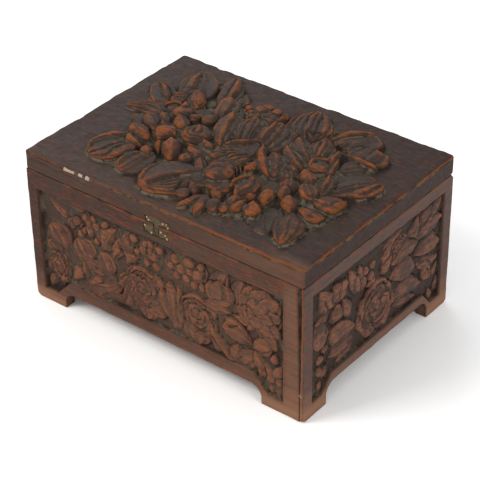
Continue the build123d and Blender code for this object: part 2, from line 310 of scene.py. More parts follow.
def carve_lid(step, across, up):
    """The bouquet on the lid."""
    c = Carving(across, up, step, 51, floor=-0.12, grow=1.14, lip=2.7, slope=1.0)
    c.mound((-44, 4), 33, 1.2, 2.2)
    c.mound((8, -2), 46, 1.15, 3.6)
    c.mound((56, -6), 34, 1.0, 2.4)

    # Leaves that lie on the ground, back left round to front left
    c.leaf((-34, 40), (-47, 63), 10, (2.2, 0.8), bend=-2, crown=0.5, vein=0.3)
    c.leaf((-64, 33), (-86, 69), 25, (3.0, 1.7), point=0.55, crown=0.3, vein=0.6, roll=0.6, ribs=2,
           rib_depth=0.12)
    c.leaf((-70, 32), (-86, 66), 8, (3.8, 2.7), bend=1, crown=1.1, edge=1.2)
    c.leaf((-44, 36), (-62, 76), 15, (3.2, 2.0), bend=-2.5, point=0.5, crown=0.4, vein=0.5,
           roll=0.5)
    c.leaf((-45, 42), (-58, 74), 7, (4.4, 3.0), bend=-2.5, point=0.5, crown=1.1, edge=1.2)
    c.leaf((-72, 14), (-103, 39), 17, (3.0, 1.7), bend=-1, point=0.5, crown=0.3, vein=0.6, roll=0.7,
           ribs=2, rib_depth=0.15)
    c.leaf((-76, 19), (-98, 37), 6, (3.6, 2.5), bend=-1.5, crown=0.9, edge=1.2)
    c.leaf((-64, 2), (-99, 1), 13, (3.4, 1.7), bend=-6, point=0.5, crown=0.6, roll=0.6, ribs=3,
           rib_depth=0.45)
    c.leaf((-66, -17), (-88, -3), 7, (2.0, 0.8), crown=0.5, vein=0.4)
    c.leaf((-70, -27), (-84, -55), 10, (3.4, 1.7), bend=-2.5, point=0.45, crown=1.0, edge=1.2)
    c.leaf((-62, -33), (-76, -62), 24, (4.0, 2.0), belly=0.58, point=0.45, crown=0.3, vein=0.6,
           roll=0.5, ribs=3, rib_depth=0.4)
    c.leaf((-57, -36), (-63, -58), 11, (4.6, 2.6), bend=1, crown=0.9, fold=0.4)
    c.leaf((-40, -37), (-46, -65), 20, (4.6, 2.1), belly=0.58, point=0.42, crown=0.5, vein=0.5,
           roll=0.6, ribs=2, rib_depth=0.25)
    c.leaf((0, -37), (-25, -72), 33, (5.2, 2.5), bend=-1, belly=0.5, point=0.46, crown=1.1,
           roll=0.6)
    c.leaf((6, -44), (-19, -70), 19, (5.2, 2.7), bend=3, point=0.5, crown=0.5, ribs=5,
           rib_depth=0.38, edge=1.0, trench=0.3)
    c.leaf((-26, -38), (-24, -71), 5, (3.8, 2.5), bend=-6, crown=0.7, edge=1.0)

    # Leaves at the back right and right
    c.leaf((53, 43), (62, 69), 27, (3.4, 2.0), belly=0.58, point=0.42, crown=0.3, roll=0.8)
    c.leaf((42, 46), (62, 69), 7, (3.6, 3.0), bend=4.5, crown=0.8, edge=1.2)
    c.ball((51, 47), 3.4, 1.8, 3.6)
    c.leaf((78, 36), (68, 16), 15, (2.4, 2.4), crown=0.4)
    c.petal((74, 31), (73, 53), 26, (2.8, 2.6), point=0.36, crown=0.8, ribs=3, rib_depth=0.35)
    c.leaf((61, 38), (88, 34), 4.4, (3.6, 3.6), bend=-1, crown=0.6, edge=0.9)
    c.leaf((80, -9), (98, 23), 26, (4.0, 2.0), bend=3.5, belly=0.62, point=0.5, crown=0.3, vein=0.9,
           roll=0.8, ribs=2, rib_depth=0.3)
    c.leaf((92, -4), (98, 21), 8, (3.6, 2.8), bend=-1, crown=0.9, edge=1.2)

    # Leaves at the front right
    c.leaf((57, -42), (73, -65), 20, (2.8, 1.0), bend=-1, point=0.6, crown=0.3, vein=0.5, roll=0.4)
    c.leaf((74, -40), (88, -71), 18, (4.0, 1.9), bend=1.5, belly=0.4, point=0.7, crown=0.9, ribs=3,
           rib_depth=0.3)

    # The spray of leaflets at the front
    for base, tip, width, lift in (
        ((4, -46), (-2, -63), 8, 2.6), ((19, -55), (10, -75), 8.5, 3.0),
        ((19, -55), (25, -76), 8.5, 3.0), ((23, -54), (34, -67), 9, 3.0),
        ((3, -46), (12, -59), 8, 4.0), ((17, -47), (29, -54), 8, 4.2),
    ):
        c.leaf(base, tip, width, (lift + 1.0, lift - 0.8), crown=0.8, vein=0.5, point=0.6)
    c.ball((4, -62), 4.2, 2.2, 3.8, squash=1.15, turn=30)

    # Flower A, back left: an oval bud among small lobed petals
    for tip, width in (((-78, 41), 8), ((-71, 42), 8), ((-79, 31), 8), ((-77, 22), 9)):
        c.petal((-66, 31), tip, width, (3.8, 3.8), crown=0.5, cup=0.4, roll=0.6)
    c.arc((-70, 24), 6.0, 3.0, 30, 185, 5.2)
    c.arc((-68, 15), 6.2, 2.8, 30, 205, 5.2)
    c.ball((-67, 14), 4.4, 2.8, 4.2)
    c.ball((-58, 14), 6.4, 3.8, 6.6, squash=1.15, turn=110)
    c.leaf((-62, 13), (-61, 27), 7, (5.6, 6.0), crown=1.0)
    c.leaf((-53, 21), (-67, 40), 13, (5.8, 5.6), belly=0.5, point=0.48, crown=1.2, ribs=3,
           rib_depth=0.35)
    c.ball((-47, 12), 4.0, 3.6, 5.8)
    c.ball((-37, 16), 5.0, 3.8, 6.4, squash=1.1, turn=90)

    # Flower B, left: long petals round a ball in a collar
    for base, tip, width, lift in (
        ((-56, -8), (-69, 5), 8, 4.0), ((-55, -17), (-75, -3), 11, 4.8),
        ((-54, -27), (-77, -19), 11, 4.8), ((-52, -37), (-69, -31), 6.5, 4.2),
        ((-39, -35), (-48, -24), 6, 4.4), ((-41, -42), (-51, -35), 7, 4.2),
        ((-39, -6), (-57, 7), 10.5, 5.8),
    ):
        c.petal(base, tip, width, (lift + 0.5, lift), crown=0.8, fold=0.4, roll=0.4)
    c.leaf((-48, -16), (-64, -2), 6, (5.2, 5.0), crown=0.4, ribs=2, rib_depth=0.3)
    c.petal((-41, -14), (-57, -16), 14, (6.2, 6.0), crown=1.0, fold=-0.5)
    c.petal((-26, -38), (-41, -19), 12, (5.4, 6.4), crown=1.2, point=0.5)
    c.ball((-31, -5), 9.2, 4.8, 7.4, squash=1.12, turn=125)
    c.arc((-31, -5), 7.4, 2.6, 150, 350, 7.6)
    c.leaf((-29, -9), (-36, 3), 6, (7.4, 7.2), bend=-1, crown=0.7, trench=0.5)
    c.leaf((-8, -19), (-31, -17), 5, (5.2, 5.2), bend=1, crown=0.5)
    c.leaf((-9, -13), (-24, -8), 7, (5.6, 5.4), crown=0.7)
    c.leaf((-8, -25), (-26, -21), 8, (5.4, 5.2), crown=0.8, vein=0.4)
    c.ball((-19, -31), 4.6, 3.8, 5.8, dimple=0.9)

    # Flower C, at the back: an anemone, its heart full of small folded petals
    for angle in range(15, 200, 23):
        a = math.radians(angle)
        tip = (-11 + 17.5 * math.cos(a), 41 + 16 * math.sin(a))
        c.petal((-11, 41), tip, 10, (3.4, 2.4), cup=0.6, roll=0.7)
    c.ball((-11, 43), 11.5, 2.2, 3.6, squash=1.15)
    for x, y, r, squash, turn in (
        (-26, 43, 2.6, 1.3, 80), (-16, 52, 3.0, 1.5, 20), (-7, 50, 3.6, 1.2, 100),
        (1, 50, 2.8, 1.3, -30), (-21, 41, 2.6, 1.2, 60), (-17, 46, 4.2, 1.2, -40),
        (0, 45, 3.2, 1.3, 60), (-16, 38, 3.2, 1.5, 10), (-7, 43, 3.6, 1.7, 5),
        (-4, 37, 3.2, 1.5, -20),
    ):
        c.ball((x, y), r, 3.6, 5.6, squash=squash, turn=turn, dimple=0.4)

    # Tall petals between the flowers
    c.leaf((-18, 20), (-36, 45), 15, (3.6, 3.2), crown=0.4, ribs=4, rib_depth=0.35, roll=0.4)
    c.petal((-31, 18), (-44, 47), 15, (5.2, 4.8), bend=-1.5, crown=0.9, roll=0.5, ribs=2,
            rib_depth=0.3)
    c.petal((32, 30), (14, 69), 27, (5.8, 3.8), bend=2, belly=0.52, point=0.55, crown=0.9, ribs=6,
            rib_depth=0.42, roll=0.5)
    c.petal((38, 38), (24, 65), 10, (5.4, 4.2), bend=-1, crown=0.8, ribs=2, rib_depth=0.35)
    c.petal((4, 0), (-12, 36), 24, (5.6, 5.2), crown=0.6, ribs=5, rib_depth=0.4, roll=0.6)
    c.petal((-9, -8), (-28, 31), 15, (6.4, 6.2), bend=1.5, point=0.55, crown=1.3, ribs=2,
            rib_depth=0.2)
    c.petal((22, 6), (22, 36), 13, (5.4, 5.0), crown=0.5, ribs=3, rib_depth=0.35)
    c.petal((15, 4), (6, 40), 24, (6.0, 5.8), belly=0.5, point=0.48, crown=0.7, ribs=5,
            rib_depth=0.4)
    c.leaf((10, 7), (3, 38), 9, (6.8, 6.6), bend=1, crown=1.0, edge=1.0)

    # Flower D, back right: a closed bud in long petals
    c.ball((33, 43), 2.8, 3.0, 5.0)
    c.leaf((36, 35), (25, 42), 5, (5.0, 4.6), crown=0.7)
    for base, tip, width, lift, bend in (
        ((50, 12), (26, 31), 14, 5.6, 1), ((51, 2), (26, 18), 9, 5.8, 1.5),
        ((64, 14), (55, 37), 7, 5.2, 1),
    ):
        c.petal(base, tip, width, (lift + 0.4, lift), bend=bend, crown=0.9, fold=0.4, ribs=2,
                rib_depth=0.25)
    c.petal((53, 15), (41, 43), 16, (6.6, 6.2), belly=0.5, point=0.5, crown=1.3, ribs=4,
            rib_depth=0.42)
    c.leaf((70, 3), (61, 28), 5, (4.2, 4.6), crown=0.7)
    c.ball((58, 11), 6.0, 4.4, 6.4)
    c.arc((59, 12), 8.4, 4.2, 95, 220, 7.0)
    c.ball((72, 4), 4.4, 3.0, 4.8, squash=1.2, turn=-40)

    # Petals between the rose and the right-hand flower
    c.leaf((53, -18), (39, 3), 10, (4.8, 5.2), crown=0.5, ribs=2, rib_depth=0.3)
    c.leaf((53, -5), (38, 1), 6, (5.6, 5.4), bend=-1, crown=0.7)
    c.leaf((77, -15), (68, 7), 12, (4.2, 4.6), crown=0.9, ribs=2, rib_depth=0.25)
    c.petal((67, -10), (53, 1), 10, (5.4, 6.0), crown=1.1)

    # Flower E, right: open petals
    c.petal((75, -21), (97, -15), 17, (4.8, 4.2), crown=0.7, roll=0.5, bend=-1)
    c.leaf((91, -24), (95, -10), 8, (5.0, 4.6), crown=0.6, edge=1.2)
    c.petal((73, -32), (94, -36), 12, (4.2, 3.6), belly=0.66, point=0.32, crown=0.7, roll=0.3)
    c.petal((60, -23), (51, -12), 12, (5.2, 5.2), crown=0.5, ribs=3, rib_depth=0.3)
    c.petal((77, -23), (62, -11), 11, (5.8, 5.6), crown=0.2, cup=0.4, roll=0.6)
    c.petal((74, -42), (62, -27), 10.5, (5.2, 5.6), crown=1.0, vein=0.3)
    c.petal((61, -33), (54, -20), 8, (5.2, 5.8), crown=0.9)

    # Flower F, front right: small petals round a bright bead
    c.petal((32, -52), (39, -64), 8, (3.8, 3.0), crown=0.7)
    c.petal((34, -44), (41, -57), 9, (5.0, 4.4), crown=0.7, fold=0.4)
    c.petal((43, -46), (44, -61), 8, (4.8, 4.0), crown=1.0)
    c.petal((47, -44), (57, -58), 10, (5.2, 4.4), crown=1.0, roll=0.3)
    c.petal((55, -44), (47, -30), 10, (5.0, 5.6), crown=1.1)
    c.ball((38, -31), 3.2, 4.6, 6.2)
    c.ball((43, -41), 3.2, 4.6, 6.6)
    c.leaf((42, -35), (33, -38), 5, (5.6, 5.6), crown=0.5)

    # The great rose at the centre
    c.petal((10, -22), (-9, -10), 15, (5.8, 5.2), crown=0.5, roll=0.6)
    c.petal((16, -30), (0, -48), 20, (5.8, 4.6), belly=0.66, point=0.4, crown=0.3, roll=0.8)
    c.petal((18, -34), (18, -50), 18, (5.8, 4.6), belly=0.66, point=0.4, crown=0.3, roll=0.8)
    c.petal((6, -42), (-10, -27), 9, (5.6, 6.0), bend=1, crown=0.5, vein=0.4, ribs=2, rib_depth=0.3)
    c.leaf((34, -46), (31, -23), 13, (5.4, 5.8), bend=-2, crown=0.3, roll=0.8)
    c.leaf((26, -42), (31, -24), 5, (6.6, 6.6), bend=2.5, crown=0.7)
    c.petal((41, -16), (25, 7), 17, (6.0, 5.8), belly=0.5, point=0.5, crown=0.8, ribs=3,
            rib_depth=0.3)
    c.petal((12, -12), (2, 6), 20, (5.6, 6.2), cup=0.7, roll=0.8)
    c.leaf((39, -19), (13, 10), 8, (7.2, 7.0), bend=2, crown=1.2, fold=0.4)
    c.leaf((-9, -4), (11, 11), 6.5, (6.4, 7.2), bend=1, crown=1.0)
    for base, tip, width, lift in (
        ((6, -4), (-5, -11), 6, 5.8), ((8, -6), (-1, -14), 6, 6.2), ((4, -14), (-8, -20), 7, 6.0),
        ((10, -6), (4, -17), 6, 6.6), ((14, -8), (8, -20), 7, 6.8), ((18, -8), (14, -20), 8, 7.0),
        ((24, -8), (23, -22), 8, 7.2),
    ):
        c.petal(base, tip, width, (lift, lift + 0.2), crown=0.6, fold=0.5, roll=0.4)
    c.arc((11, -33), 13.8, 3.2, 35, 165, 6.8)
    c.arc((11, -33), 11.2, 2.8, 25, 185, 7.6)
    c.ball((11, -33), 9.0, 5.6, 8.6, squash=1.12, turn=120, edge=1.0)
    c.arc((12, -35), 5.4, 2.0, 60, 200, 8.8)

    c.height = np.minimum(c.height, BOUQUET_RISE - 0.2)
    c.settle(step, seed=1, chisel=0.09)
    c.height = np.minimum(c.height, BOUQUET_RISE - 0.02)
    return c


def sprig(c, leaves):
    """Low ribbed leaves behind berries: base, tip and width of each."""
    for base, tip, width in leaves:
        c.leaf(base, tip, width, (1.6, 1.0), crown=0.3, vein=0.4, ribs=2)


def berries(c, top, spots):
    """A cluster of berries, each turned its own way: place across, place up and radius."""
    for x, y, radius in spots:
        c.ball((x, y), radius, 1.2, top, squash=1.2, turn=x * 7)


def carve_front(step, across, up):
    """The flowers of the front panel."""
    c = Carving(across, up, step, 61, floor=0.1, grow=1.1, lip=1.3)
    c.mound((-30, 46), 44, 1.7, 0.8)
    c.mound((40, 52), 46, 1.4, 0.9)
    top = 3.2

    # Overlapping petals and a small rose at the left end
    c.leaf((-76, 76), (-98, 87), 9, (1.2, 0.6), crown=0.3)
    c.leaf((-60, 86), (-82, 87), 5, (1.1, 0.7), crown=0.3)
    c.petal((-84, 46), (-98, 66), 22, (2.2, 1.4), bend=-2, crown=0.5, ribs=3)
    c.petal((-62, 44), (-74, 64), 24, (2.6, 1.9), bend=-1, crown=0.6, ribs=4)
    c.petal((-44, 44), (-52, 61), 18, (2.8, 2.1), crown=0.6, ribs=3)
    c.petal((-84, 40), (-102, 50), 13, (2.0, 1.4), crown=0.5, vein=0.4)
    c.rose((-92, 34), 12, 0.9, 2.4, turn=20, squash=0.85)
    c.leaf((-38, 42), (-78, 52), 15, (2.9, 1.6), bend=3, crown=0.6, vein=0.6, ribs=4)
    c.leaf((-34, 44), (-70, 28), 15, (2.7, 1.8), bend=3, crown=0.7, vein=0.6, ribs=2)
    c.leaf((-40, 33), (-84, 22), 11, (2.2, 1.3), bend=3, crown=0.6, vein=0.4)
    c.leaf((-50, 42), (-63, 32), 6, (2.9, 2.6), crown=0.7)
    c.leaf((-70, 42), (-79, 28), 9, (2.4, 2.0), crown=0.8, vein=0.3)
    c.leaf((-66, 34), (-68, 48), 7, (2.4, 2.4), crown=0.7)
    c.leaf((-84, 26), (-92, 20), 7, (1.8, 1.2), crown=0.5)
    c.leaf((-96, 24), (-102, 12), 8, (1.6, 1.0), crown=0.5)

    # Berries among leaves along the top, left half
    sprig(c, (
        ((-78, 68), (-62, 84), 14), ((-58, 66), (-64, 88), 13), ((-56, 66), (-44, 84), 15),
        ((-44, 66), (-38, 88), 12), ((-80, 66), (-72, 80), 10),
    ))
    berries(c, 2.6, (
        (-73, 77, 3.0), (-65, 83, 2.4), (-61, 74, 3.4), (-70, 68, 3.0), (-55, 79, 3.0),
        (-62, 79, 2.2), (-52, 72, 2.4), (-49, 76, 3.0), (-46, 67, 2.8), (-48, 84, 2.6),
        (-66, 72, 2.2), (-56, 68, 2.4), (-58, 85, 2.0),
    ))
    c.leaf((-50, 62), (-37, 86), 10, (2.4, 2.0), bend=2, crown=0.8, vein=0.5)
    c.leaf((-42, 60), (-26, 80), 10, (2.6, 2.0), bend=1.5, crown=0.8, ribs=2)
    c.leaf((-24, 62), (-36, 79), 10, (2.7, 2.2), bend=-1, crown=0.8, vein=0.4)
    c.leaf((-30, 61), (-19, 76), 8, (2.7, 2.2), crown=0.7)
    sprig(c, (
        ((-26, 66), (-26, 88), 14), ((-12, 64), (-18, 88), 14), ((-4, 64), (-4, 88), 14),
    ))
    berries(c, 2.7, (
        (-23, 84, 2.8), (-15, 78, 3.0), (-20, 74, 2.4), (-9, 84, 2.6), (-6, 76, 3.2),
        (-12, 70, 2.6), (-4, 69, 2.6), (-28, 79, 2.2), (-1, 83, 2.8), (-13, 84, 2.0), (-9, 79, 2.0),
    ))

    # The two roses and the bud between them
    c.leaf((-20, 30), (-52, 26), 9, (1.8, 1.2), bend=-1, crown=0.4, vein=0.4)
    c.petal((-17, 48), (-37, 42), 18, (2.4, 2.0), crown=0.6, roll=0.4, ribs=2)
    c.petal((-17, 46), (-32, 27), 17, (2.4, 1.8), crown=0.6, roll=0.4, ribs=2)
    c.petal((-15, 44), (-14, 24), 20, (2.4, 1.8), crown=0.7, roll=0.5, ribs=3)
    c.petal((-12, 46), (3, 32), 17, (2.4, 2.0), crown=0.6, roll=0.4)
    c.petal((-12, 50), (3, 57), 16, (2.4, 2.2), crown=0.6, roll=0.4)
    c.rose((-17, 48), 16, 1.5, top, turn=70)
    c.arc((-16, 50), 12.5, 3.4, 30, 165, top, tilt=0.3)
    c.petal((9, 26), (6, 62), 15, (2.2, 2.8), bend=-1.5, belly=0.5, point=0.5, crown=0.7, ribs=3)
    c.petal((13, 26), (14, 62), 7, (2.4, 2.9), bend=-2.5, crown=0.6)
    c.petal((10, 30), (0, 55), 8, (2.4, 2.6), bend=2, crown=0.6)
    c.petal((28, 46), (14, 34), 17, (2.4, 2.0), crown=0.6, roll=0.4)
    c.petal((28, 42), (29, 23), 22, (2.4, 1.8), crown=0.6, roll=0.5, ribs=3)
    c.petal((30, 46), (44, 36), 16, (2.4, 2.0), crown=0.6, roll=0.4)
    c.petal((30, 50), (45, 56), 14, (2.3, 2.0), crown=0.5, roll=0.4)
    c.rose((29, 47), 14.5, 1.5, top, turn=20)
    c.arc((28, 49), 11.5, 3.2, 35, 170, top, tilt=0.3)

    # Berries over the right-hand rose
    sprig(c, (
        ((12, 64), (8, 86), 14), ((20, 64), (20, 88), 15), ((30, 64), (34, 88), 15),
    ))
    berries(c, 2.8, (
        (12, 82, 3.0), (17, 76, 3.0), (23, 84, 3.4), (30, 77, 3.6), (13, 70, 2.8), (21, 71, 2.8),
        (34, 69, 2.8), (33, 85, 2.6), (8, 76, 2.4), (27, 68, 2.6), (24, 77, 2.2),
    ))

    # The bud in its leaves, and the great frilled flower at the right
    c.leaf((40, 66), (54, 90), 15, (1.8, 1.2), crown=0.5, vein=0.5, ribs=2)
    c.leaf((60, 66), (66, 89), 14, (1.8, 1.4), crown=0.5, vein=0.4, ribs=2)
    c.petal((48, 60), (41, 78), 12, (2.4, 2.6), crown=0.7, roll=0.4)
    c.petal((49, 60), (56, 79), 12, (2.4, 2.8), crown=0.8, roll=0.4)
    c.petal((48, 60), (48, 81), 12, (2.7, 3.0), crown=0.8, ribs=2)
    c.leaf((36, 60), (58, 67), 6, (2.6, 2.6), crown=0.5)
    c.leaf((34, 58), (58, 60), 8, (2.4, 2.2), crown=0.5, ribs=2)
    for tip, width, lift in (
        ((72, 88), 16, 2.0), ((84, 89), 17, 2.0), ((94, 84), 15, 1.9), ((97, 72), 14, 1.9),
        ((96, 58), 15, 1.9), ((93, 46), 13, 1.9), ((66, 80), 13, 2.2), ((62, 68), 11, 2.4),
    ):
        c.petal((78, 62), tip, width, (2.4, lift), crown=0.4, cup=0.3, roll=0.5, vein=0.4, ribs=2)
    for tip, width, lift in (
        ((76, 80), 11, 2.7), ((86, 78), 11, 2.7), ((91, 68), 11, 2.7), ((88, 56), 11, 2.7),
        ((68, 72), 10, 2.8),
    ):
        c.petal((77, 62), tip, width, (2.9, lift), crown=0.5, roll=0.4, ribs=2)
    for tip in ((60, 60), (62, 66), (68, 70), (72, 74), (70, 54)):
        c.leaf((76, 58), tip, 5, (3.0, 2.8), crown=0.5)
    c.ball((78, 62), 4.0, 2.4, 3.1, squash=1.2, turn=30, dimple=0.5)
    c.petal((74, 42), (50, 48), 16, (2.6, 2.6), bend=-2, crown=0.8, ribs=2)
    c.petal((74, 40), (89, 48), 13, (2.6, 2.5), crown=0.8, ribs=2)
    c.leaf((52, 52), (64, 54), 7, (2.4, 2.4), crown=0.6)

    # Stems and leaves below, and sprigs in the right foot
    c.leaf((50, 24), (40, 34), 8, (1.8, 1.8), crown=0.6, vein=0.4)
    c.leaf((70, 22), (40, 45), 8, (2.2, 2.4), bend=5, crown=0.8, edge=0.8)
    c.leaf((64, 22), (48, 32), 5, (2.4, 2.6), bend=2, crown=0.6)
    c.leaf((58, 24), (62, 38), 10, (2.2, 2.2), crown=0.6, vein=0.4)
    c.leaf((64, 22), (80, 36), 13, (2.2, 2.0), bend=2, crown=0.7, vein=0.4, ribs=2)
    c.leaf((84, 24), (76, 40), 9, (2.0, 2.2), crown=0.7)
    for base, tip in (
        ((91, 20), (84, 34)), ((91, 22), (97, 36)), ((91, 18), (85, 24)), ((92, 18), (97, 26)),
        ((92, 12), (87, 17)), ((92, 12), (97, 16)), ((90, 33), (92, 43)), ((84, 20), (78, 27)),
    ):
        c.leaf(base, tip, 6.5, (1.9, 1.5), crown=0.7, vein=0.3)
    return c


def carve_side(step, across, up):
    """The flowers of an end panel."""
    c = Carving(across, up, step, 71, floor=0.1, grow=1.12, lip=1.3)
    c.mound((0, 50), 60, 2.4, 0.8)
    top = 3.2

    # Left part, top to bottom
    c.leaf((-60, 68), (-64, 92), 13, (2.2, 2.0), bend=-4, crown=0.8, edge=1.3)
    c.petal((-46, 70), (-58, 84), 9, (2.2, 2.6), crown=0.8)
    c.petal((-46, 70), (-46, 88), 12, (2.4, 2.6), crown=0.8, roll=0.4)
    c.petal((-45, 70), (-36, 86), 9, (2.2, 2.4), crown=0.7)
    c.leaf((-52, 70), (-70, 68), 7, (2.0, 1.8), bend=2, crown=0.6)
    c.leaf((-44, 56), (-46, 72), 12, (2.4, 2.2), bend=2, crown=0.8, vein=0.4)
    c.leaf((-30, 54), (-40, 72), 10, (2.4, 2.2), crown=0.7)
    c.petal((-54, 56), (-72, 58), 18, (2.8, 2.0), crown=0.9, roll=0.4)
    c.petal((-26, 44), (-54, 52), 17, (3.0, 2.4), bend=2, crown=0.9, roll=0.4)
    c.leaf((-28, 36), (-54, 34), 12, (2.2, 1.8), bend=-2, crown=0.7, vein=0.4)
    c.leaf((-24, 30), (-46, 26), 7, (1.8, 1.4), crown=0.6)
    c.ball((-63, 38), 3.4, 1.0, 2.4)
    c.ball((-58, 44), 3.0, 1.0, 2.4)
    c.leaf((-61, 24), (-66, 33), 6, (2.0, 1.8), crown=0.7)
    c.leaf((-60, 22), (-56, 31), 6, (2.0, 1.8), crown=0.7)
    c.leaf((-66, 12), (-62, 22), 6, (1.6, 1.4), crown=0.6)
    c.leaf((-67, 12), (-72, 26), 5, (1.4, 1.2), crown=0.5)

    # Buds and berries over the rose
    c.leaf((-24, 66), (-33, 90), 10, (2.2, 1.8), bend=-2, crown=0.7)
    c.petal((-22, 66), (-25, 82), 9, (2.4, 2.6), crown=0.9)
    c.petal((-20, 66), (-17, 78), 8, (2.4, 2.6), crown=0.9)
    c.leaf((-16, 74), (-22, 88), 7, (2.0, 1.8), bend=1, crown=0.7)
    c.ball((-15, 79), 3.0, 1.2, 2.7)
    c.ball((-9, 72), 3.2, 1.2, 2.7)
    c.ball((-7, 80), 2.6, 1.2, 2.5)
    c.leaf((-2, 66), (-14, 67), 6, (2.2, 2.0), crown=0.6)
    c.leaf((2, 66), (14, 76), 8, (2.4, 2.4), bend=1, crown=0.8)
    c.leaf((2, 78), (24, 91), 11, (2.2, 2.0), bend=2.5, crown=0.8)
    c.leaf((4, 74), (12, 86), 8, (2.6, 2.4), crown=0.8)

    # The rose
    c.petal((-2, 46), (-24, 38), 18, (2.6, 2.2), crown=0.7, roll=0.5)
    c.petal((-2, 44), (-14, 25), 18, (2.6, 1.9), crown=0.7, roll=0.5)
    c.petal((0, 44), (8, 25), 18, (2.6, 1.9), crown=0.7, roll=0.5)
    c.petal((0, 46), (17, 38), 16, (2.6, 2.2), crown=0.7, roll=0.5)
    c.petal((-2, 48), (-22, 54), 14, (2.6, 2.4), crown=0.7, roll=0.4)
    c.rose((-2, 46), 17.5, 1.6, top, turn=10)
    c.arc((-3, 49), 15.0, 4.2, 25, 160, top, tilt=0.3)
    c.arc((0, 44), 11.0, 3.4, 235, 345, top, tilt=-0.3)

    # Right part
    c.rose((22, 78), 9.5, 1.3, 3.0, turn=50)
    c.leaf((30, 70), (44, 90), 12, (2.2, 1.6), bend=-2, crown=0.7, vein=0.4)
    c.leaf((14, 68), (44, 70), 13, (2.6, 2.2), bend=3, crown=0.8)
    c.petal((12, 58), (40, 52), 16, (3.0, 2.4), bend=3, crown=0.9, roll=0.4)
    c.leaf((16, 38), (50, 34), 15, (2.6, 1.8), bend=4, crown=0.8, vein=0.3)
    c.leaf((18, 32), (44, 27), 9, (2.0, 1.5), crown=0.6)
    c.petal((40, 60), (70, 58), 15, (2.6, 2.0), bend=3, crown=0.8, roll=0.3)
    c.petal((40, 70), (72, 76), 14, (2.6, 2.0), bend=3, crown=0.8, roll=0.3)
    c.leaf((44, 82), (62, 90), 10, (2.0, 1.6), crown=0.7, vein=0.3)
    c.leaf((56, 80), (71, 92), 9, (2.0, 1.4), crown=0.6)
    c.leaf((44, 52), (70, 46), 10, (2.2, 1.7), bend=-2, crown=0.7)
    c.leaf((50, 50), (60, 32), 8, (2.4, 2.4), bend=2, crown=0.8)
    c.petal((52, 44), (57, 33), 8, (2.6, 2.6), crown=0.8)
    for base, tip in (((66, 12), (60, 22)), ((67, 14), (71, 28)), ((64, 28), (70, 40))):
        c.leaf(base, tip, 5.5, (1.6, 1.3), crown=0.6, vein=0.3)
    return c


# ---------------------------------------------------------------- shapes of the boards

def outline_distance(points, across, up):
    """Distance inside a closed outline, negative outside."""
    best = np.full(across.shape, 1e9)
    crossings = np.zeros(across.shape, int)
    for (x0, y0), (x1, y1) in zip(points, points[1:] + points[:1]):
        dx, dy = x1 - x0, y1 - y0
        t = np.clip(((across - x0) * dx + (up - y0) * dy) / (dx * dx + dy * dy), 0, 1)
        best = np.minimum(best, np.hypot(across - x0 - t * dx, up - y0 - t * dy))
        if dy:
            spans = (y0 <= up) != (y1 <= up)
            crossings += spans & (across < x0 + (up - y0) * dx / dy)
    return np.where(crossings % 2 == 1, best, -best)


def recess_points(face):
    """Corners of the sunk panel, with a lobe down into each foot."""
    left, right, bottom, top = face["recess"]
    lobe, low, slope = face["lobe_width"], face["lobe_bottom"], face["lobe_slope"]
    return [
        (left, top), (right, top), (right, low), (right - lobe, low),
        (right - lobe - slope, bottom), (left + lobe + slope, bottom),
        (left + lobe, low), (left, low),
    ]


def underside(face, across, half, worn):
    """How high a wall's lower edge is: feet, arch, and worn outer corners."""
    left, right, height = face["arch"]
    inside = np.minimum(across - left, right - across)
    corner = np.clip(ARCH_RADIUS - inside, 0, ARCH_RADIUS)
    arch = height - ARCH_RADIUS + np.sqrt(ARCH_RADIUS ** 2 - corner ** 2)
    end = half - np.abs(across)
    chamfer = worn * np.clip(1 - end / 3.5, 0, 1) ** 1.6
    return np.where(inside > 0, arch, chamfer)


def round_off(distance, radius):
    """How far a surface drops at a distance from an edge rounded to that radius."""
    short = np.clip(radius - distance, 0, radius)
    return radius - np.sqrt(np.maximum(radius ** 2 - short ** 2, 0))


def store(mesh, name, values):
    """Keeps one number per vertex with the mesh, for its material."""
    layer = mesh.attributes.new(name, "FLOAT", "POINT")
    layer.data.foreach_set("value", np.asarray(values, np.float32).ravel())


def build_mesh(name, verts, faces, flat_from, layers):
    """A mesh object from millimetre vertices; faces from flat_from on are flat."""
    mesh = bpy.data.meshes.new(name)
    mesh.from_pydata((np.asarray(verts) * MM).tolist(), [], faces)
    smooth_faces = np.ones(len(faces), bool)
    smooth_faces[flat_from:] = False
    mesh.polygons.foreach_set("use_smooth", smooth_faces)
    for key, values in layers.items():
        store(mesh, key, values)
    work = bmesh.new()
    work.from_mesh(mesh)
    bmesh.ops.remove_doubles(work, verts=work.verts, dist=1e-7)
    bmesh.ops.recalc_face_normals(work, faces=work.faces)
    work.to_mesh(mesh)
    work.free()
    obj = bpy.data.objects.new(name, mesh)
    bpy.context.scene.collection.objects.link(obj)
    return obj


def grid_faces(rows, cols, first=0):
    """Quads of a grid of rows x cols vertices."""
    index = np.arange(rows * cols).reshape(rows, cols) + first
    quads = np.stack([index[:-1, :-1], index[:-1, 1:], index[1:, 1:], index[1:, :-1]], -1)
    return quads.reshape(-1, 4).tolist()


def surface_layers(height, step):
    """Fine and broad shape of a carved surface: above or below what is round it. The broad one
    also holds painted light: it is raised on slopes that face the left, which then wear lighter
    as if lit from there, and lowered on slopes that face the right, as painted shade."""
    # Painted light: the slope towards the left, added to the broad shape below.
    lit = np.gradient(blur(height, 0.8 / step), axis=1) / step
    return {
        "fine": height - blur(height, 0.8 / step),
        "broad": height - blur(height, 4.5 / step) + 0.7 * np.clip(lit, -0.8, 0.8),
    }


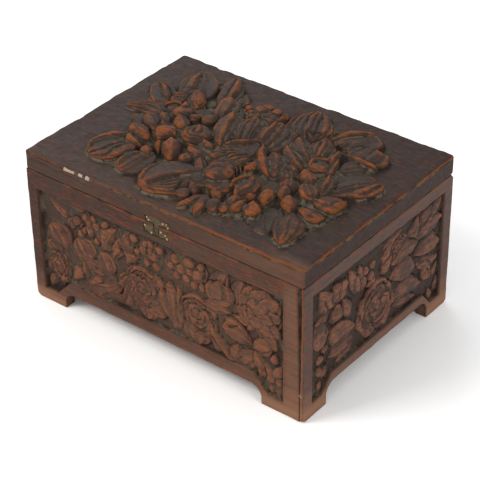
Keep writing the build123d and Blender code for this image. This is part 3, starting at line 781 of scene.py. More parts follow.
def cut(obj, boxes, rods=()):
    """Cuts boxes, given by two corners, and rods along X, given by x0, x1, y, z and radius."""
    tools = []
    for low, high in boxes:
        work = bmesh.new()
        size = [(h - l) * MM for l, h in zip(low, high)]
        middle = [(h + l) / 2 * MM for l, h in zip(low, high)]
        place = Matrix.Translation(middle) @ Matrix.Diagonal((*size, 1))
        bmesh.ops.create_cube(work, size=1, matrix=place)
        tools.append(work)
    for x0, x1, y, z, radius in rods:
        work = bmesh.new()
        centre = ((x0 + x1) / 2 * MM, y * MM, z * MM)
        place = Matrix.Translation(centre) @ Matrix.Rotation(math.pi / 2, 4, "Y")
        bmesh.ops.create_cone(
            work, cap_ends=True, segments=32, radius1=radius * MM, radius2=radius * MM,
            depth=(x1 - x0) * MM, matrix=place,
        )
        tools.append(work)
    for work in tools:
        mesh = bpy.data.meshes.new("cutter")
        work.to_mesh(mesh)
        work.free()
        tool = bpy.data.objects.new("cutter", mesh)
        bpy.context.scene.collection.objects.link(tool)
        modifier = obj.modifiers.new("cut", "BOOLEAN")
        modifier.operation = "DIFFERENCE"
        modifier.solver = "EXACT"
        modifier.object = tool
        bpy.context.view_layer.objects.active = obj
        bpy.ops.object.modifier_apply(modifier="cut")
        bpy.data.objects.remove(tool)
        bpy.data.meshes.remove(mesh)


WALL_STEP = 0.5
ARCH_GAP = 0.02
TOO_CLOSE = 0.03


def wall_columns(face, length):
    """Grid lines across a wall, with a pair at each side of the arch."""
    half = length / 2
    lines = set(np.round(fine_axis(-half, half, WALL_STEP), 4))
    for edge in face["arch"][:2]:
        lines.update((edge - ARCH_GAP, edge + ARCH_GAP))
    lines = np.array(sorted(lines))
    keep = np.concatenate([[True], np.diff(lines) > TOO_CLOSE])
    return lines[keep]


def open_joint(across, up, half):
    """The front right corner, where the joint has opened: a groove, wider towards the top."""
    wide = 0.7 + 1.5 * smooth(up, 15, 100)
    middle = half - 3.0 - 0.5 * smooth(up, 30, 100)
    off = np.abs(across - middle) / wide
    return 2.6 * np.clip(1 - off, 0, 1) ** 0.6


def sink_panel(depth, face, carve, across, up, seed):
    """Sinks the panel into a wall whose surface is depth below its front, with its carving.
    Also gives back the distance inside the panel and the carving."""
    shape = across.shape
    wobble = 0.16 * speckle(shape, 9 / WALL_STEP, seed + 12)
    wobble = wobble + 0.12 * speckle(shape, 2 / WALL_STEP, seed + 13)
    panel = outline_distance(recess_points(face), across, up) + wobble
    carving = carve(WALL_STEP, across, up)
    carving.settle(WALL_STEP, seed=seed)
    ground = 0.22 * speckle(shape, 5 / WALL_STEP, seed + 14) * smooth(panel, 1, 4)
    relief = np.clip(carving.height, -0.3, CARVING_DEPTH - 0.15)
    relief = relief + ground * smooth(0.8 - carving.height, 0, 0.8)
    sunk = smooth(panel, -0.1, 0.9)
    carved = CARVING_DEPTH - relief * smooth(panel, 0.2, 1.6)
    return depth * (1 - sunk) + sunk * carved, panel, carving


def wall_layers(across, up, half, edge, dents, depth, panel, carving, joint_open):
    """What a wall's material needs to know at each place of its carved face."""
    layers = surface_layers(-depth, WALL_STEP)
    layers["rub"] = smooth(2.2 - edge, 0, 1.8) * (0.6 + 0.3 * dents)
    layers["panel"] = smooth(panel, -0.2, 0.8)
    layers["foot"] = 0.3 * smooth(14 - up, 0, 14)
    low_rail = 0.2 if joint_open else 0.38
    bare = 0.8 * smooth(16 - up, 0, 15) + low_rail * smooth(26 - up, 0, 8)
    if joint_open:
        # The right stile, and the frame paler towards the right
        bare = bare + 0.3 * smooth(across, 96, 104) + 0.14 * smooth(across, -70, 60)
    bare = bare * (1 - layers["panel"])
    if joint_open:
        # The panel paler towards the right
        bare = bare + (0.08 + 0.22 * smooth(across, -60, 40)) * layers["panel"]
    layers["bare"] = np.clip(bare, 0, 1)
    # Painted shade: the low wood of the panel between the carved forms, darkened as if in shadow.
    layers["deep_shade"] = layers["panel"] * (1 - smooth(carving.height, 0.5, 1.6))
    layers["chip"] = np.zeros(across.shape)
    if joint_open:
        mark = np.hypot((across - half + 2.6) / 1.6, up - 21)
        layers["chip"] = smooth(1.2 - mark, 0, 0.6)
    return layers


def wall_faces(rows, cols):
    """A wall's faces: the carved grid, then the flat strips and ends that close it. After the
    grid come three rows of vertices: the crease, and the inner face's bottom and top edges."""
    first_crease, first_bottom, first_top = rows * cols, (rows + 1) * cols, (rows + 2) * cols
    faces = grid_faces(rows, cols)
    flat_from = len(faces)
    top_row = (rows - 1) * cols
    for i in range(cols - 1):
        for a, b in ((first_bottom, 0), (top_row, first_crease), (first_crease, first_top),
                     (first_top, first_bottom)):
            faces.append([a + i, a + i + 1, b + i + 1, b + i])
    for column in (0, cols - 1):
        loop = [row * cols + column for row in range(rows)]
        faces.append(loop + [first_crease + column, first_top + column, first_bottom + column])
    return faces, flat_from


def wall_piece(name, face, carve, length, place, seed, flipped=False, joint_open=False,
               bevel=None):
    """A wall board with its carved panel, as one closed mesh. place puts it in the frame.
    bevel is "top" for the wall the hinges are on and "end" for the walls that meet it."""
    half = length / 2
    columns = wall_columns(face, length)
    up_share = fine_axis(0, BODY_TOP, WALL_STEP) / BODY_TOP
    low_edge = underside(face, columns, half, 2.2)
    past_pin = np.zeros(len(columns))
    if bevel == "end":
        past_pin = np.clip(columns - PIN_Y, 0, None)
    high_edge = BODY_TOP - past_pin * BODY_BEVEL
    across = np.repeat(columns[None, :], len(up_share), 0)
    up = low_edge[None, :] + up_share[:, None] * (high_edge - low_edge)[None, :]
    shape = across.shape

    # Rounded arrises: more at the corners and under the arch than at the rim
    dents = speckle(shape, 16, seed + 10)
    end = half - np.abs(across)
    corner_radius = np.clip(1.2 + 0.22 * dents, 0.6, 2.0)
    meet = (1 - math.sqrt(0.5)) * corner_radius
    beveled = np.zeros(shape)
    if bevel == "top":
        beveled = np.clip((up - BODY_TOP) / BODY_BEVEL + DEPTH / 2 - PIN_Y, 0, None)
    mitre = np.maximum(meet, beveled)
    end_place = np.where(end < 4, mitre + end * (1 - mitre / 4), end)
    depth = round_off(end_place, corner_radius)
    low_inside = up - low_edge[None, :]
    high_inside = high_edge[None, :] - up
    depth = np.maximum(depth, round_off(low_inside, np.clip(0.9 + 0.2 * dents, 0.4, 1.5)))
    depth = np.maximum(depth, round_off(high_inside, np.clip(0.7 + 0.35 * dents, 0.3, 1.6)))
    depth = depth + 0.08 * np.clip(speckle(shape, 30, seed + 11) + 0.5, 0, 1.5)

    depth, panel, carving = sink_panel(depth, face, carve, across, up, seed)
    if joint_open:
        depth = depth + open_joint(across, up, half)
    depth = np.maximum(depth, beveled)
    depth[:, [0, -1]] = mitre[:, [0, -1]]

    # Vertices: the carved face, the line where a bevel ends, and the plain inner face's edges
    turn = -1 if flipped else 1
    outer = np.stack([turn * np.sign(across) * (half - end_place), depth, up], -1).reshape(-1, 3)
    inner_across = turn * np.clip(columns, -half + WALL, half - WALL)
    inner_low = np.interp(np.clip(columns, -half + WALL, half - WALL), columns, low_edge)
    wall = np.full(len(columns), WALL)
    rim = np.full(len(columns), BODY_TOP)
    rows, cols = shape
    crease = outer.reshape(rows, cols, 3)[-1].copy()
    beyond = past_pin > 0
    at_pin = np.full(beyond.sum(), turn * PIN_Y)
    crease[beyond] = np.stack([at_pin, past_pin[beyond], rim[beyond]], -1)
    inner_bottom = np.stack([inner_across, wall, inner_low], -1)
    inner_top = np.stack([inner_across, wall, rim], -1)
    verts = np.concatenate([outer, crease, inner_bottom, inner_top])
    faces, flat_from = wall_faces(rows, cols)

    edge = np.minimum(np.minimum(end, low_inside), high_inside)
    layers = wall_layers(across, up, half, edge, dents, depth, panel, carving, joint_open)
    plain = np.zeros(3 * cols)
    layers = {key: np.concatenate([value.ravel(), plain]) for key, value in layers.items()}
    obj = build_mesh(name, verts, faces, flat_from, layers)
    obj.data.transform(place)
    return obj


def facing(turn, x, y):
    """Turns a wall built facing the front by turn degrees and moves its outer face to x, y."""
    return Matrix.Translation((x * MM, y * MM, 0)) @ Matrix.Rotation(math.radians(turn), 4, "Z")


# ---------------------------------------------------------------- the lid

LID_STEP = 0.5
LID_SIDE_ROWS = 14


def corner_distance(x, y):
    """Distance in from the lid's outline, whose corners are rounded."""
    ex, ey = WIDTH / 2 - np.abs(x), DEPTH / 2 - np.abs(y)
    corner = (ex < LID_CORNER) & (ey < LID_CORNER)
    rounded = LID_CORNER - np.hypot(LID_CORNER - ex, LID_CORNER - ey)
    return np.where(corner, rounded, np.minimum(ex, ey))


def between(place, start, stop, run_in, run_out):
    """1 between two places and 0 outside, rising and falling over short runs inside them."""
    return smooth(place, start, start + run_in) * (1 - smooth(place, stop - run_out, stop))


def lid_edge_chips(x, y):
    """How much more the lid's arris is worn or broken away at a place, in millimetres."""
    front, back = smooth(-y, 78, 82), smooth(y, 78, 82)
    left, right = smooth(-x, 110, 114), smooth(x, 110, 114)
    more = 0.5 * front * between(x, -82, -69, 3, 2)
    more = more + 0.4 * front * between(x, -67.5, -56, 1, 1.5)
    for start, stop, size in (
        (-84, -76, 1.3), (-60, -52, 0.6), (-25, 15, 1.0), (40, 47, 0.8), (70, 92, 0.6),
    ):
        more = more + size * back * between(x, start, stop, 1.5, 2)
    for start, stop, size in ((-40, -30, 0.5), (10, 24, 0.4), (50, 58, 0.7)):
        more = more + size * right * between(y, start, stop, 2, 2)
        more = more + size * left * between(y, start + 8, stop + 6, 2, 2)
    return more


def lid_layers(across, up, height, edge, dents, carving):
    """What the lid's material needs to know at each place of its top."""
    layers = surface_layers(height, LID_STEP)
    at_front = smooth(-up, 78, 82)
    layers["rub"] = smooth(1.8 + 0.7 * at_front - edge, 0, 1.4)
    layers["rub"] = layers["rub"] * (0.85 + 0.25 * (1 - at_front) * dents)
    layers["rub"] = layers["rub"] * (1 - 0.35 * at_front * (1 - smooth(across, -30, 60)))
    layers["panel"] = smooth(carving.height, 0.15, 0.9)
    covered = smooth(carving.height, 0.3, 1.0)
    bouquet = blur(covered, 2.0 / LID_STEP)
    # Painted shade: the low wood among the bouquet's forms, darkened as if in shadow.
    layers["deep_shade"] = smooth(bouquet, 0.55, 0.9) * (1 - smooth(carving.height, 1.2, 3.2))
    near_carving = blur(covered, 0.35 / LID_STEP)
    faces_front = smooth(np.gradient(near_carving, axis=0), 0.0, 0.06)
    low_wood = 1 - smooth(carving.height, 0.6, 1.4)
    layers["foot"] = near_carving * low_wood * (0.05 + 0.5 * faces_front)
    layers["bare"] = 0.35 * smooth(across, 60, 112) * smooth(-up, 70, 82)
    layers["bare"] = layers["bare"] + 0.07 * smooth(-up, 40, 74) * (1 - smooth(across, 10, 70))
    chips = np.zeros(across.shape)
    for start, stop in ((-80, -70), (-67, -63), (-61, -57)):
        chips = chips + between(across, start, stop, 0.7, 0.7)
    layers["chip"] = chips * smooth(0.7 + 0.4 * dents - edge, 0, 0.4) * (up < 0)
    return layers


def lid_side_layers(x, y, side_z, low, groove, edge_chip):
    """The same for the lid's sides, whose rows run down from the top."""
    shape = side_z.shape
    down = GROUND - side_z
    rub = 0.8 * smooth(2.0 - down, 0, 1.8)
    rub = rub + 0.5 * smooth(1.2 - (side_z - low), 0, 1.2)
    return {
        "fine": -groove,
        "broad": np.zeros(shape),
        "rub": rub,
        "panel": np.zeros(shape),
        "foot": np.zeros(shape),
        "deep_shade": np.zeros(shape),
        "bare": (0.12 + 0.22 * smooth(x, 0, 112)) * smooth(-y, 80, 82) * np.ones(shape),
        "chip": edge_chip[None, :] * smooth(1.3 - down, 0, 0.5),
    }


def rim_loop(rows, cols):
    """The vertices round the rim of a grid, in order."""
    index = np.arange(rows * cols).reshape(rows, cols)
    return np.concatenate([index[0, :-1], index[:-1, -1], index[-1, :0:-1], index[:0:-1, 0]])


def lid_faces(rows, cols, loop):
    """The lid's faces: the top, the rings of its sides, the bevel and the underside."""
    faces = grid_faces(rows, cols)
    rings = [list(loop)]
    for ring in range(LID_SIDE_ROWS + 1):
        start = rows * cols + ring * len(loop)
        rings.append(list(range(start, start + len(loop))))
    flat_from = 0
    for above, below in zip(rings[:-1], rings[1:]):
        flat_from = len(faces)
        for i in range(len(loop)):
            j = (i + 1) % len(loop)
            faces.append([above[i], above[j], below[j], below[i]])
    faces.append(rings[-1])
    return faces, flat_from


def lid_piece(name):
    """The lid: the bouquet on its ground, worn edges, sides, and a flat underside."""
    columns = fine_axis(-WIDTH / 2, WIDTH / 2, LID_STEP)
    rows_at = fine_axis(-DEPTH / 2, DEPTH / 2, LID_STEP)
    across, up = np.meshgrid(columns, rows_at)
    shape = across.shape
    narrow = round_off(DEPTH / 2 - np.abs(up), LID_CORNER)
    across = across * (1 - narrow / (WIDTH / 2))
    edge = corner_distance(across, up)

    carving = carve_lid(LID_STEP, across, up)
    height = carving.height
    uneven = 0.16 * speckle(shape, 14 / LID_STEP, 31) + 0.07 * speckle(shape, 4 / LID_STEP, 32)
    height = height + uneven * smooth(0.8 - height, 0, 0.8)
    dents = speckle(shape, 7 / LID_STEP, 33)
    radius = np.clip(1.1 + 0.35 * dents + lid_edge_chips(across, up), 0.5, 3.2)
    height = np.minimum(height, BOUQUET_RISE) - round_off(edge, radius)
    height = height - 0.12 * smooth(4 - edge, 0, 4)
    height = np.where(edge < 3, np.minimum(height, 0), height)

    # Down the sides: a loop round the lid, repeated
    loop = rim_loop(*shape)
    x, y, z = across.ravel()[loop], up.ravel()[loop], GROUND + height.ravel()[loop]
    inner_x = np.clip(x, -WIDTH / 2 + LID_CORNER, WIDTH / 2 - LID_CORNER)
    inner_y = np.clip(y, -DEPTH / 2 + LID_CORNER, DEPTH / 2 - LID_CORNER)
    reach = np.hypot(x - inner_x, y - inner_y)
    out_x, out_y = (x - inner_x) / reach, (y - inner_y) / reach
    low = LID_BOTTOM + np.clip(y - PIN_Y, 0, None) * LID_BEVEL
    share = np.linspace(0, 1, LID_SIDE_ROWS + 1)[1:, None]
    side_z = z + (low - z) * share
    side_shape = side_z.shape
    wave = 0.14 * np.clip(speckle(side_shape, 25, 41) + 0.6, 0, 2) * np.sin(math.pi * share)
    groove = 0.4 * np.exp(-((side_z - GROUND + 5.0) / 0.45) ** 2)
    groove = groove * smooth(-x, 48, 62) * smooth(-y, 82, 82.4)
    inward = wave + groove + round_off(side_z - low, 0.6)
    side = np.stack([x - out_x * inward, y - out_y * inward, side_z], -1).reshape(-1, 3)
    last = side[-len(loop):]
    floor_z = np.full(len(loop), LID_BOTTOM)
    floor = np.stack([last[:, 0], np.minimum(last[:, 1], PIN_Y), floor_z], -1)

    top = np.stack([across, up, GROUND + height], -1).reshape(-1, 3)
    verts = np.concatenate([top, side, floor])
    faces, flat_from = lid_faces(*shape, loop)
    tops = lid_layers(across, up, height, edge, dents, carving)
    sides = lid_side_layers(x, y, side_z, low, groove, tops["chip"].ravel()[loop])
    plain = np.zeros(len(loop))
    layers = {key: np.concatenate([tops[key].ravel(), sides[key].ravel(), plain]) for key in sides}
    return build_mesh(name, verts, faces, flat_from, layers)


def hinge_cutters(side):
    """Mortises and knuckle scoops, in the lid (side 1) or the body (side -1)."""
    boxes, rods = [], []
    for node in ("left_hinge_lid_leaf", "right_hinge_lid_leaf"):
        (x0, y0, _), (x1, _, _) = node_box(node)
        thick = 1.3 + LID_BOTTOM - PIN_Z
        z0, z1 = sorted((PIN_Z, PIN_Z + side * thick))
        boxes.append(((x0 - 0.05, y0 - 0.05, z0), (x1 + 0.05, PIN_Y + 0.3, z1)))
        rods.append((x0 - 0.05, x1 + 0.05, PIN_Y, PIN_Z, 1.9))
    return boxes, rods


def clasp_box(node):
    """The pocket under a clasp plate, open to the front."""
    (x0, y0, z0), (x1, y1, z1) = node_box(node)
    return (x0 - 0.04, y0 - 2, z0 - 0.04), (x1 + 0.04, y1, z1 + 0.04)


# ---------------------------------------------------------------- felt and clasp

def felt_piece(name, node, face_axis, face_sign, seed):
    """A felt lining where a CAD slab is: soft edges and a slightly uneven face."""
    low, high = node_box(node)
    a, b = [axis for axis in range(3) if axis != face_axis]
    first = fine_axis(low[a] + 0.1, high[a] - 0.1, 2.5)
    second = fine_axis(low[b] + 0.1, high[b] - 0.1, 2.5)
    p, q = np.meshgrid(first, second)
    edge = np.minimum(
        np.minimum(p - low[a], high[a] - p), np.minimum(q - low[b], high[b] - q)
    ) - 0.1
    thick = high[face_axis] - low[face_axis]
    face = thick * 0.96 - round_off(edge, thick * 0.6) - 0.05 * np.abs(speckle(p.shape, 5, seed))
    base = low[face_axis] if face_sign > 0 else high[face_axis]
    rows, cols = p.shape
    points = np.zeros((2, rows, cols, 3))
    points[..., a], points[..., b] = p, q
    points[0, ..., face_axis] = base + face_sign * face
    points[1, ..., face_axis] = base
    verts = points.reshape(-1, 3)
    count = rows * cols
    faces = grid_faces(rows, cols)
    loop = rim_loop(rows, cols)
    for i in range(len(loop)):
        j = (i + 1) % len(loop)
        faces.append([loop[i], loop[j], loop[j] + count, loop[i] + count])
    flat_from = len(faces)
    faces.append([i + count for i in loop])
    keep = np.zeros(2 * count, bool)
    keep[:count] = True
    keep[loop + count] = True
    number = np.cumsum(keep) - 1
    faces = [[int(number[i]) for i in f] for f in faces]
    obj = build_mesh(name, verts[keep], faces, flat_from, {})
    return obj, ((high[a] - low[a]) * MM, (high[b] - low[b]) * MM)


def plate_piece(name, outline, front_y, thickness):
    """A worn clasp plate: its outline seen from the front, cut from sheet brass."""
    work = bmesh.new()
    ring = [work.verts.new((x * MM, (front_y + thickness) * MM, z * MM)) for x, z in outline]
    base = work.faces.new(ring)
    made = bmesh.ops.extrude_face_region(work, geom=[base])
    moved = [v for v in made["geom"] if isinstance(v, bmesh.types.BMVert)]
    bmesh.ops.translate(work, verts=moved, vec=(0, -thickness * MM, 0))
    bmesh.ops.recalc_face_normals(work, faces=work.faces)
    front_edges = [e for e in work.edges if all(v in moved for v in e.verts)]
    bmesh.ops.bevel(
        work, geom=front_edges, offset=0.22 * MM, segments=3, profile=0.5, affect="EDGES",
        clamp_overlap=True,
    )
    mesh = bpy.data.meshes.new(name)
    work.to_mesh(mesh)
    work.free()
    obj = bpy.data.objects.new(name, mesh)
    bpy.context.scene.collection.objects.link(obj)
    return obj


# ---------------------------------------------------------------- materials

class Shader:
    """A material's nodes, made one after another. Sockets and plain numbers can be mixed freely."""

    def __init__(self, name):
        self.material = bpy.data.materials.new(name)
        self.material.use_nodes = True
        self.tree = self.material.node_tree
        self.tree.nodes.clear()
        self.output = self.tree.nodes.new("ShaderNodeOutputMaterial")
        self.surface = self.tree.nodes.new("ShaderNodeBsdfPrincipled")
        self.tree.links.new(self.surface.outputs[0], self.output.inputs[0])
        self.place = self.tree.nodes.new("ShaderNodeTexCoord").outputs["Object"]

    def put(self, socket, value):
        """Links a socket to another, or sets it to a number or a colour."""
        if isinstance(value, bpy.types.NodeSocket):
            self.tree.links.new(value, socket)
        elif isinstance(value, tuple) and len(value) == 3 and len(socket.default_value) == 4:
            socket.default_value = (*value, 1)
        else:
            socket.default_value = value

    def number(self, name):
        """A number kept with the mesh."""
        node = self.tree.nodes.new("ShaderNodeAttribute")
        node.attribute_name = name
        return node.outputs["Fac"]

    def math(self, kind, a, b=0.0, c=0.0):
        node = self.tree.nodes.new("ShaderNodeMath")
        node.operation = kind
        for socket, value in zip(node.inputs, (a, b, c)):
            self.put(socket, value)
        return node.outputs[0]

    def times(self, a, b):
        return self.math("MULTIPLY", a, b)

    def plus(self, a, b):
        return self.math("ADD", a, b)

    def ramp(self, value, low, high, out_low=0.0, out_high=1.0):
        """value mapped smoothly from low..high to out_low..out_high."""
        node = self.tree.nodes.new("ShaderNodeMapRange")
        node.interpolation_type = "SMOOTHSTEP"
        for socket, number in zip(node.inputs[:5], (value, low, high, out_low, out_high)):
            self.put(socket, number)
        return node.outputs[0]

    def mix(self, share, a, b):
        """Colour a where share is 0, b where it is 1."""
        node = self.tree.nodes.new("ShaderNodeMix")
        node.data_type = "RGBA"
        self.put(node.inputs[0], share)
        self.put(node.inputs[6], a)
        self.put(node.inputs[7], b)
        return node.outputs[2]

    def scaled(self, scale):
        """The object's own position, scaled along each axis."""
        node = self.tree.nodes.new("ShaderNodeMapping")
        self.put(node.inputs["Vector"], self.place)
        node.inputs["Scale"].default_value = scale
        return node.outputs[0]

    def noise(self, scale, detail=3.0, rough=0.55, distort=0.0):
        """Noise from 0 to 1; scale is blobs per metre, or one number for each axis."""
        if not hasattr(scale, "__len__"):
            scale = (scale, scale, scale)
        node = self.tree.nodes.new("ShaderNodeTexNoise")
        self.put(node.inputs["Vector"], self.scaled(scale))
        node.inputs["Scale"].default_value = 1.0
        node.inputs["Detail"].default_value = detail
        node.inputs["Roughness"].default_value = rough
        node.inputs["Distortion"].default_value = distort
        return node.outputs["Fac"]

    def specks(self, scale, size):
        """Small round spots: 1 inside, 0 outside. scale is spots per metre."""
        node = self.tree.nodes.new("ShaderNodeTexVoronoi")
        self.put(node.inputs["Vector"], self.place)
        node.inputs["Scale"].default_value = scale
        return self.ramp(node.outputs["Distance"], size, size * 0.5)

    def bump(self, height, distance, strength=1.0):
        node = self.tree.nodes.new("ShaderNodeBump")
        node.inputs["Strength"].default_value = strength
        node.inputs["Distance"].default_value = distance
        self.put(node.inputs["Height"], height)
        return node.outputs[0]

    def finish(self, colour, rough, normal=None, metal=0.0, sheen=0.0, specular=0.5):
        """Sets the surface and gives back the material."""
        self.put(self.surface.inputs["Base Color"], colour)
        self.put(self.surface.inputs["Roughness"], rough)
        self.put(self.surface.inputs["Metallic"], metal)
        self.put(self.surface.inputs["Sheen Weight"], sheen)
        self.put(self.surface.inputs["Specular IOR Level"], specular)
        if normal is not None:
            self.put(self.surface.inputs["Normal"], normal)
        return self.material


def grain_scale(grain, across, along):
    """Noise scale for each axis: across the grain, and along it."""
    scale = [across, across, across]
    scale[grain] = along
    return tuple(scale)


PORE = (0.014, 0.008, 0.006)
BARE_WOOD = (0.21, 0.10, 0.058)
RUBBED_EDGE = (0.135, 0.040, 0.011)
DUST = (0.155, 0.13, 0.09)
FRESH_CHIP = (0.32, 0.27, 0.22)


def carved_wood(name, grain, dark, mid, worn, gap_shade, ground, dust_amount, wear_from, wear_to):
    """Dark stained wood, worn orange on what stands out, with painted shade in the gaps of the
    carving. grain is 0, 1 or 2: the axis the grain runs along. dark and mid are the stain's
    streaks on the carving, worn where it is rubbed, gap the colour of the painted shade between
    its forms, and ground the stain outside it. A form is worn from wear_from of standing out,
    and fully at wear_to."""
    s = Shader(name)
    fibre = s.noise(grain_scale(grain, 1400.0, 45.0), 4.0, 0.6)
    streak = s.noise(grain_scale(grain, 330.0, 14.0), 3.0, 0.55, 0.4)
    blotch = s.noise(42.0, 3.0, 0.55)
    mottle = s.noise(260.0, 4.0, 0.6)
    grit = s.noise(1500.0, 3.0, 0.6)
    fine, broad = s.number("fine"), s.number("broad")
    rub, panel, foot = s.number("rub"), s.number("panel"), s.number("foot")
    chip, bare, deep_shade = s.number("chip"), s.number("bare"), s.number("deep_shade")

    # Stain: streaks and blotches
    colour = s.mix(s.ramp(streak, 0.3, 0.72), dark, mid)
    colour = s.mix(s.ramp(blotch, 0.62, 0.34, 0.0, 0.55), colour, dark)
    flat = s.mix(s.ramp(streak, 0.35, 0.75, 0.0, 0.55), ground, colour)
    colour = s.mix(s.ramp(panel, 0.1, 0.6), flat, colour)
    flecks = s.noise(grain_scale(grain, 820.0, 120.0), 3.0, 0.65)
    red = (mid[0] * 1.5, mid[1] * 0.8, mid[2] * 0.75)
    grey = (mid[0] * 0.55, mid[1] * 0.9, mid[2] * 1.05)
    colour = s.mix(s.ramp(flecks, 0.52, 0.63, 0.0, 0.8), colour, red)
    colour = s.mix(s.ramp(flecks, 0.48, 0.37, 0.0, 0.8), colour, grey)
    pores = s.ramp(fibre, 0.46, 0.3)
    colour = s.mix(s.times(pores, 0.45), colour, PORE)

    # Paler wood: where the stain has gone, as on the feet and the right stile; the front wall is
    # also paler towards its right, in its frame and its panel
    thin = s.times(bare, s.ramp(streak, 0.25, 0.6, 0.6, 1.0))
    colour = s.mix(thin, colour, BARE_WOOD)

    # Wear: what stands out is rubbed through to the wood, in patches. Since broad holds painted
    # light, slopes that face the left also take this lighter colour as a painted highlight, and
    # slopes that face the right less of it, as painted shade.
    stands = s.plus(s.times(broad, 0.85), s.times(fine, 1.4))
    stands = s.plus(stands, s.times(s.plus(mottle, -0.5), 2.2 * wear_to))
    high = s.times(s.ramp(stands, wear_from, wear_to), s.ramp(panel, 0.3, 0.9))
    high = s.times(high, s.ramp(blotch, 0.30, 0.56, 0.35, 1.0))
    edge = s.plus(rub, s.times(s.plus(mottle, -0.5), 0.8))
    edge = s.ramp(edge, 0.36, 0.85)
    wear = s.math("MAXIMUM", s.times(high, 0.85), s.times(edge, 0.85))
    worn_dark, worn_bright = tuple(c * 0.7 for c in worn), tuple(c * 1.35 for c in worn)
    worn_colour = s.mix(s.ramp(flecks, 0.35, 0.65), worn_dark, worn_bright)
    worn_colour = s.mix(s.times(edge, 0.6), worn_colour, RUBBED_EDGE)
    colour = s.mix(wear, colour, worn_colour)

    # Hollows: painted shade in the gaps between forms and in the hollows, with pale dust in some
    hollow = s.ramp(s.plus(fine, s.times(broad, 0.2)), -0.05, -0.4)
    # Painted shade: the low wood between forms, then darker still in the hollows.
    colour = s.mix(s.times(deep_shade, 0.7), colour, gap_shade)
    colour = s.mix(s.times(hollow, 0.8), colour, tuple(c * 0.6 for c in gap_shade))
    dusty = s.times(s.ramp(mottle, 0.38, 0.54), s.ramp(blotch, 0.38, 0.54))
    dusty = s.times(dusty, s.math("MINIMUM", s.plus(s.times(hollow, 0.7), foot), 1.0))
    dusty = s.times(dusty, dust_amount)
    specks = s.times(s.specks(380.0, 0.11), s.ramp(mottle, 0.52, 0.62))
    dusty = s.math("MINIMUM", s.plus(dusty, s.times(specks, 0.3)), 1.0)
    colour = s.mix(dusty, colour, DUST)
    chipped = s.times(s.ramp(chip, 0.35, 0.65), s.ramp(grit, 0.3, 0.5))
    colour = s.mix(chipped, colour, FRESH_CHIP)

    rough = s.ramp(mottle, 0.3, 0.7, 0.38, 0.52)
    rough = s.plus(rough, s.times(wear, 0.06))
    rough = s.plus(rough, s.times(s.math("MAXIMUM", hollow, dusty), 0.35))
    relief = s.plus(s.times(fibre, 0.55), s.times(grit, 0.45))
    relief = s.plus(relief, s.times(mottle, 1.1))
    return s.finish(colour, rough, s.bump(relief, 0.00022, 0.75), specular=0.06)


def plain_wood(name):
    """Sawn wood, lightly stained."""
    s = Shader(name)
    fibre = s.noise((40.0, 1200.0, 1200.0), 4.0, 0.6)
    streak = s.noise((9.0, 190.0, 190.0), 3.0, 0.55, 0.5)
    blotch = s.noise(30.0, 3.0)
    colour = s.mix(s.ramp(streak, 0.3, 0.7), (0.10, 0.045, 0.024), (0.21, 0.105, 0.055))
    colour = s.mix(s.ramp(blotch, 0.55, 0.7, 0.0, 0.5), colour, (0.07, 0.033, 0.02))
    colour = s.mix(s.ramp(fibre, 0.45, 0.32, 0.0, 0.6), colour, (0.03, 0.015, 0.01))
    rough = s.ramp(blotch, 0.3, 0.7, 0.6, 0.75)
    return s.finish(colour, rough, s.bump(s.plus(fibre, streak), 0.0003, 0.6))


def brass(name, bright, dull, patina, patina_share):
    """Old brass: dull, brighter where rubbed, with green patina in blotches."""
    s = Shader(name)
    blotch = s.noise(420.0, 4.0, 0.6)
    fine = s.noise(2600.0, 3.0, 0.6)
    colour = s.mix(s.ramp(blotch, 0.35, 0.65), dull, bright)
    green = s.times(s.ramp(s.noise(700.0, 4.0, 0.65), 0.47, 0.62), patina_share)
    colour = s.mix(green, colour, patina)
    dirt = s.ramp(fine, 0.42, 0.3)
    colour = s.mix(s.times(dirt, 0.5), colour, (0.05, 0.035, 0.02))
    metal = s.math("SUBTRACT", 1.0, s.times(green, 0.8))
    rough = s.ramp(fine, 0.3, 0.7, 0.26, 0.5)
    rough = s.plus(rough, s.times(green, 0.35))
    hammered = s.plus(s.noise(900.0, 2.0), s.times(fine, 0.25))
    return s.finish(colour, rough, s.bump(hammered, 0.00035, 0.7), metal)


def felt(name):
    """Short red pile, a little faded in blotches."""
    s = Shader(name)
    pile = s.noise(3800.0, 3.0, 0.7)
    brushed = s.noise(120.0, 3.0, 0.6)
    faded = s.noise(26.0, 2.0)
    colour = s.mix(s.ramp(brushed, 0.3, 0.7), (0.15, 0.012, 0.018), (0.25, 0.03, 0.04))
    colour = s.mix(s.ramp(faded, 0.5, 0.72, 0.0, 0.5), colour, (0.26, 0.06, 0.05))
    colour = s.mix(s.ramp(pile, 0.45, 0.3, 0.0, 0.7), colour, (0.05, 0.004, 0.006))
    height = s.plus(pile, s.times(brushed, 0.8))
    return s.finish(colour, 0.95, s.bump(height, 0.0005, 0.8), sheen=0.3, specular=0.1)


# ---------------------------------------------------------------- the box put together

def give(obj, material):
    """Gives a piece its finish."""
    obj.data.materials.clear()
    obj.data.materials.append(material)


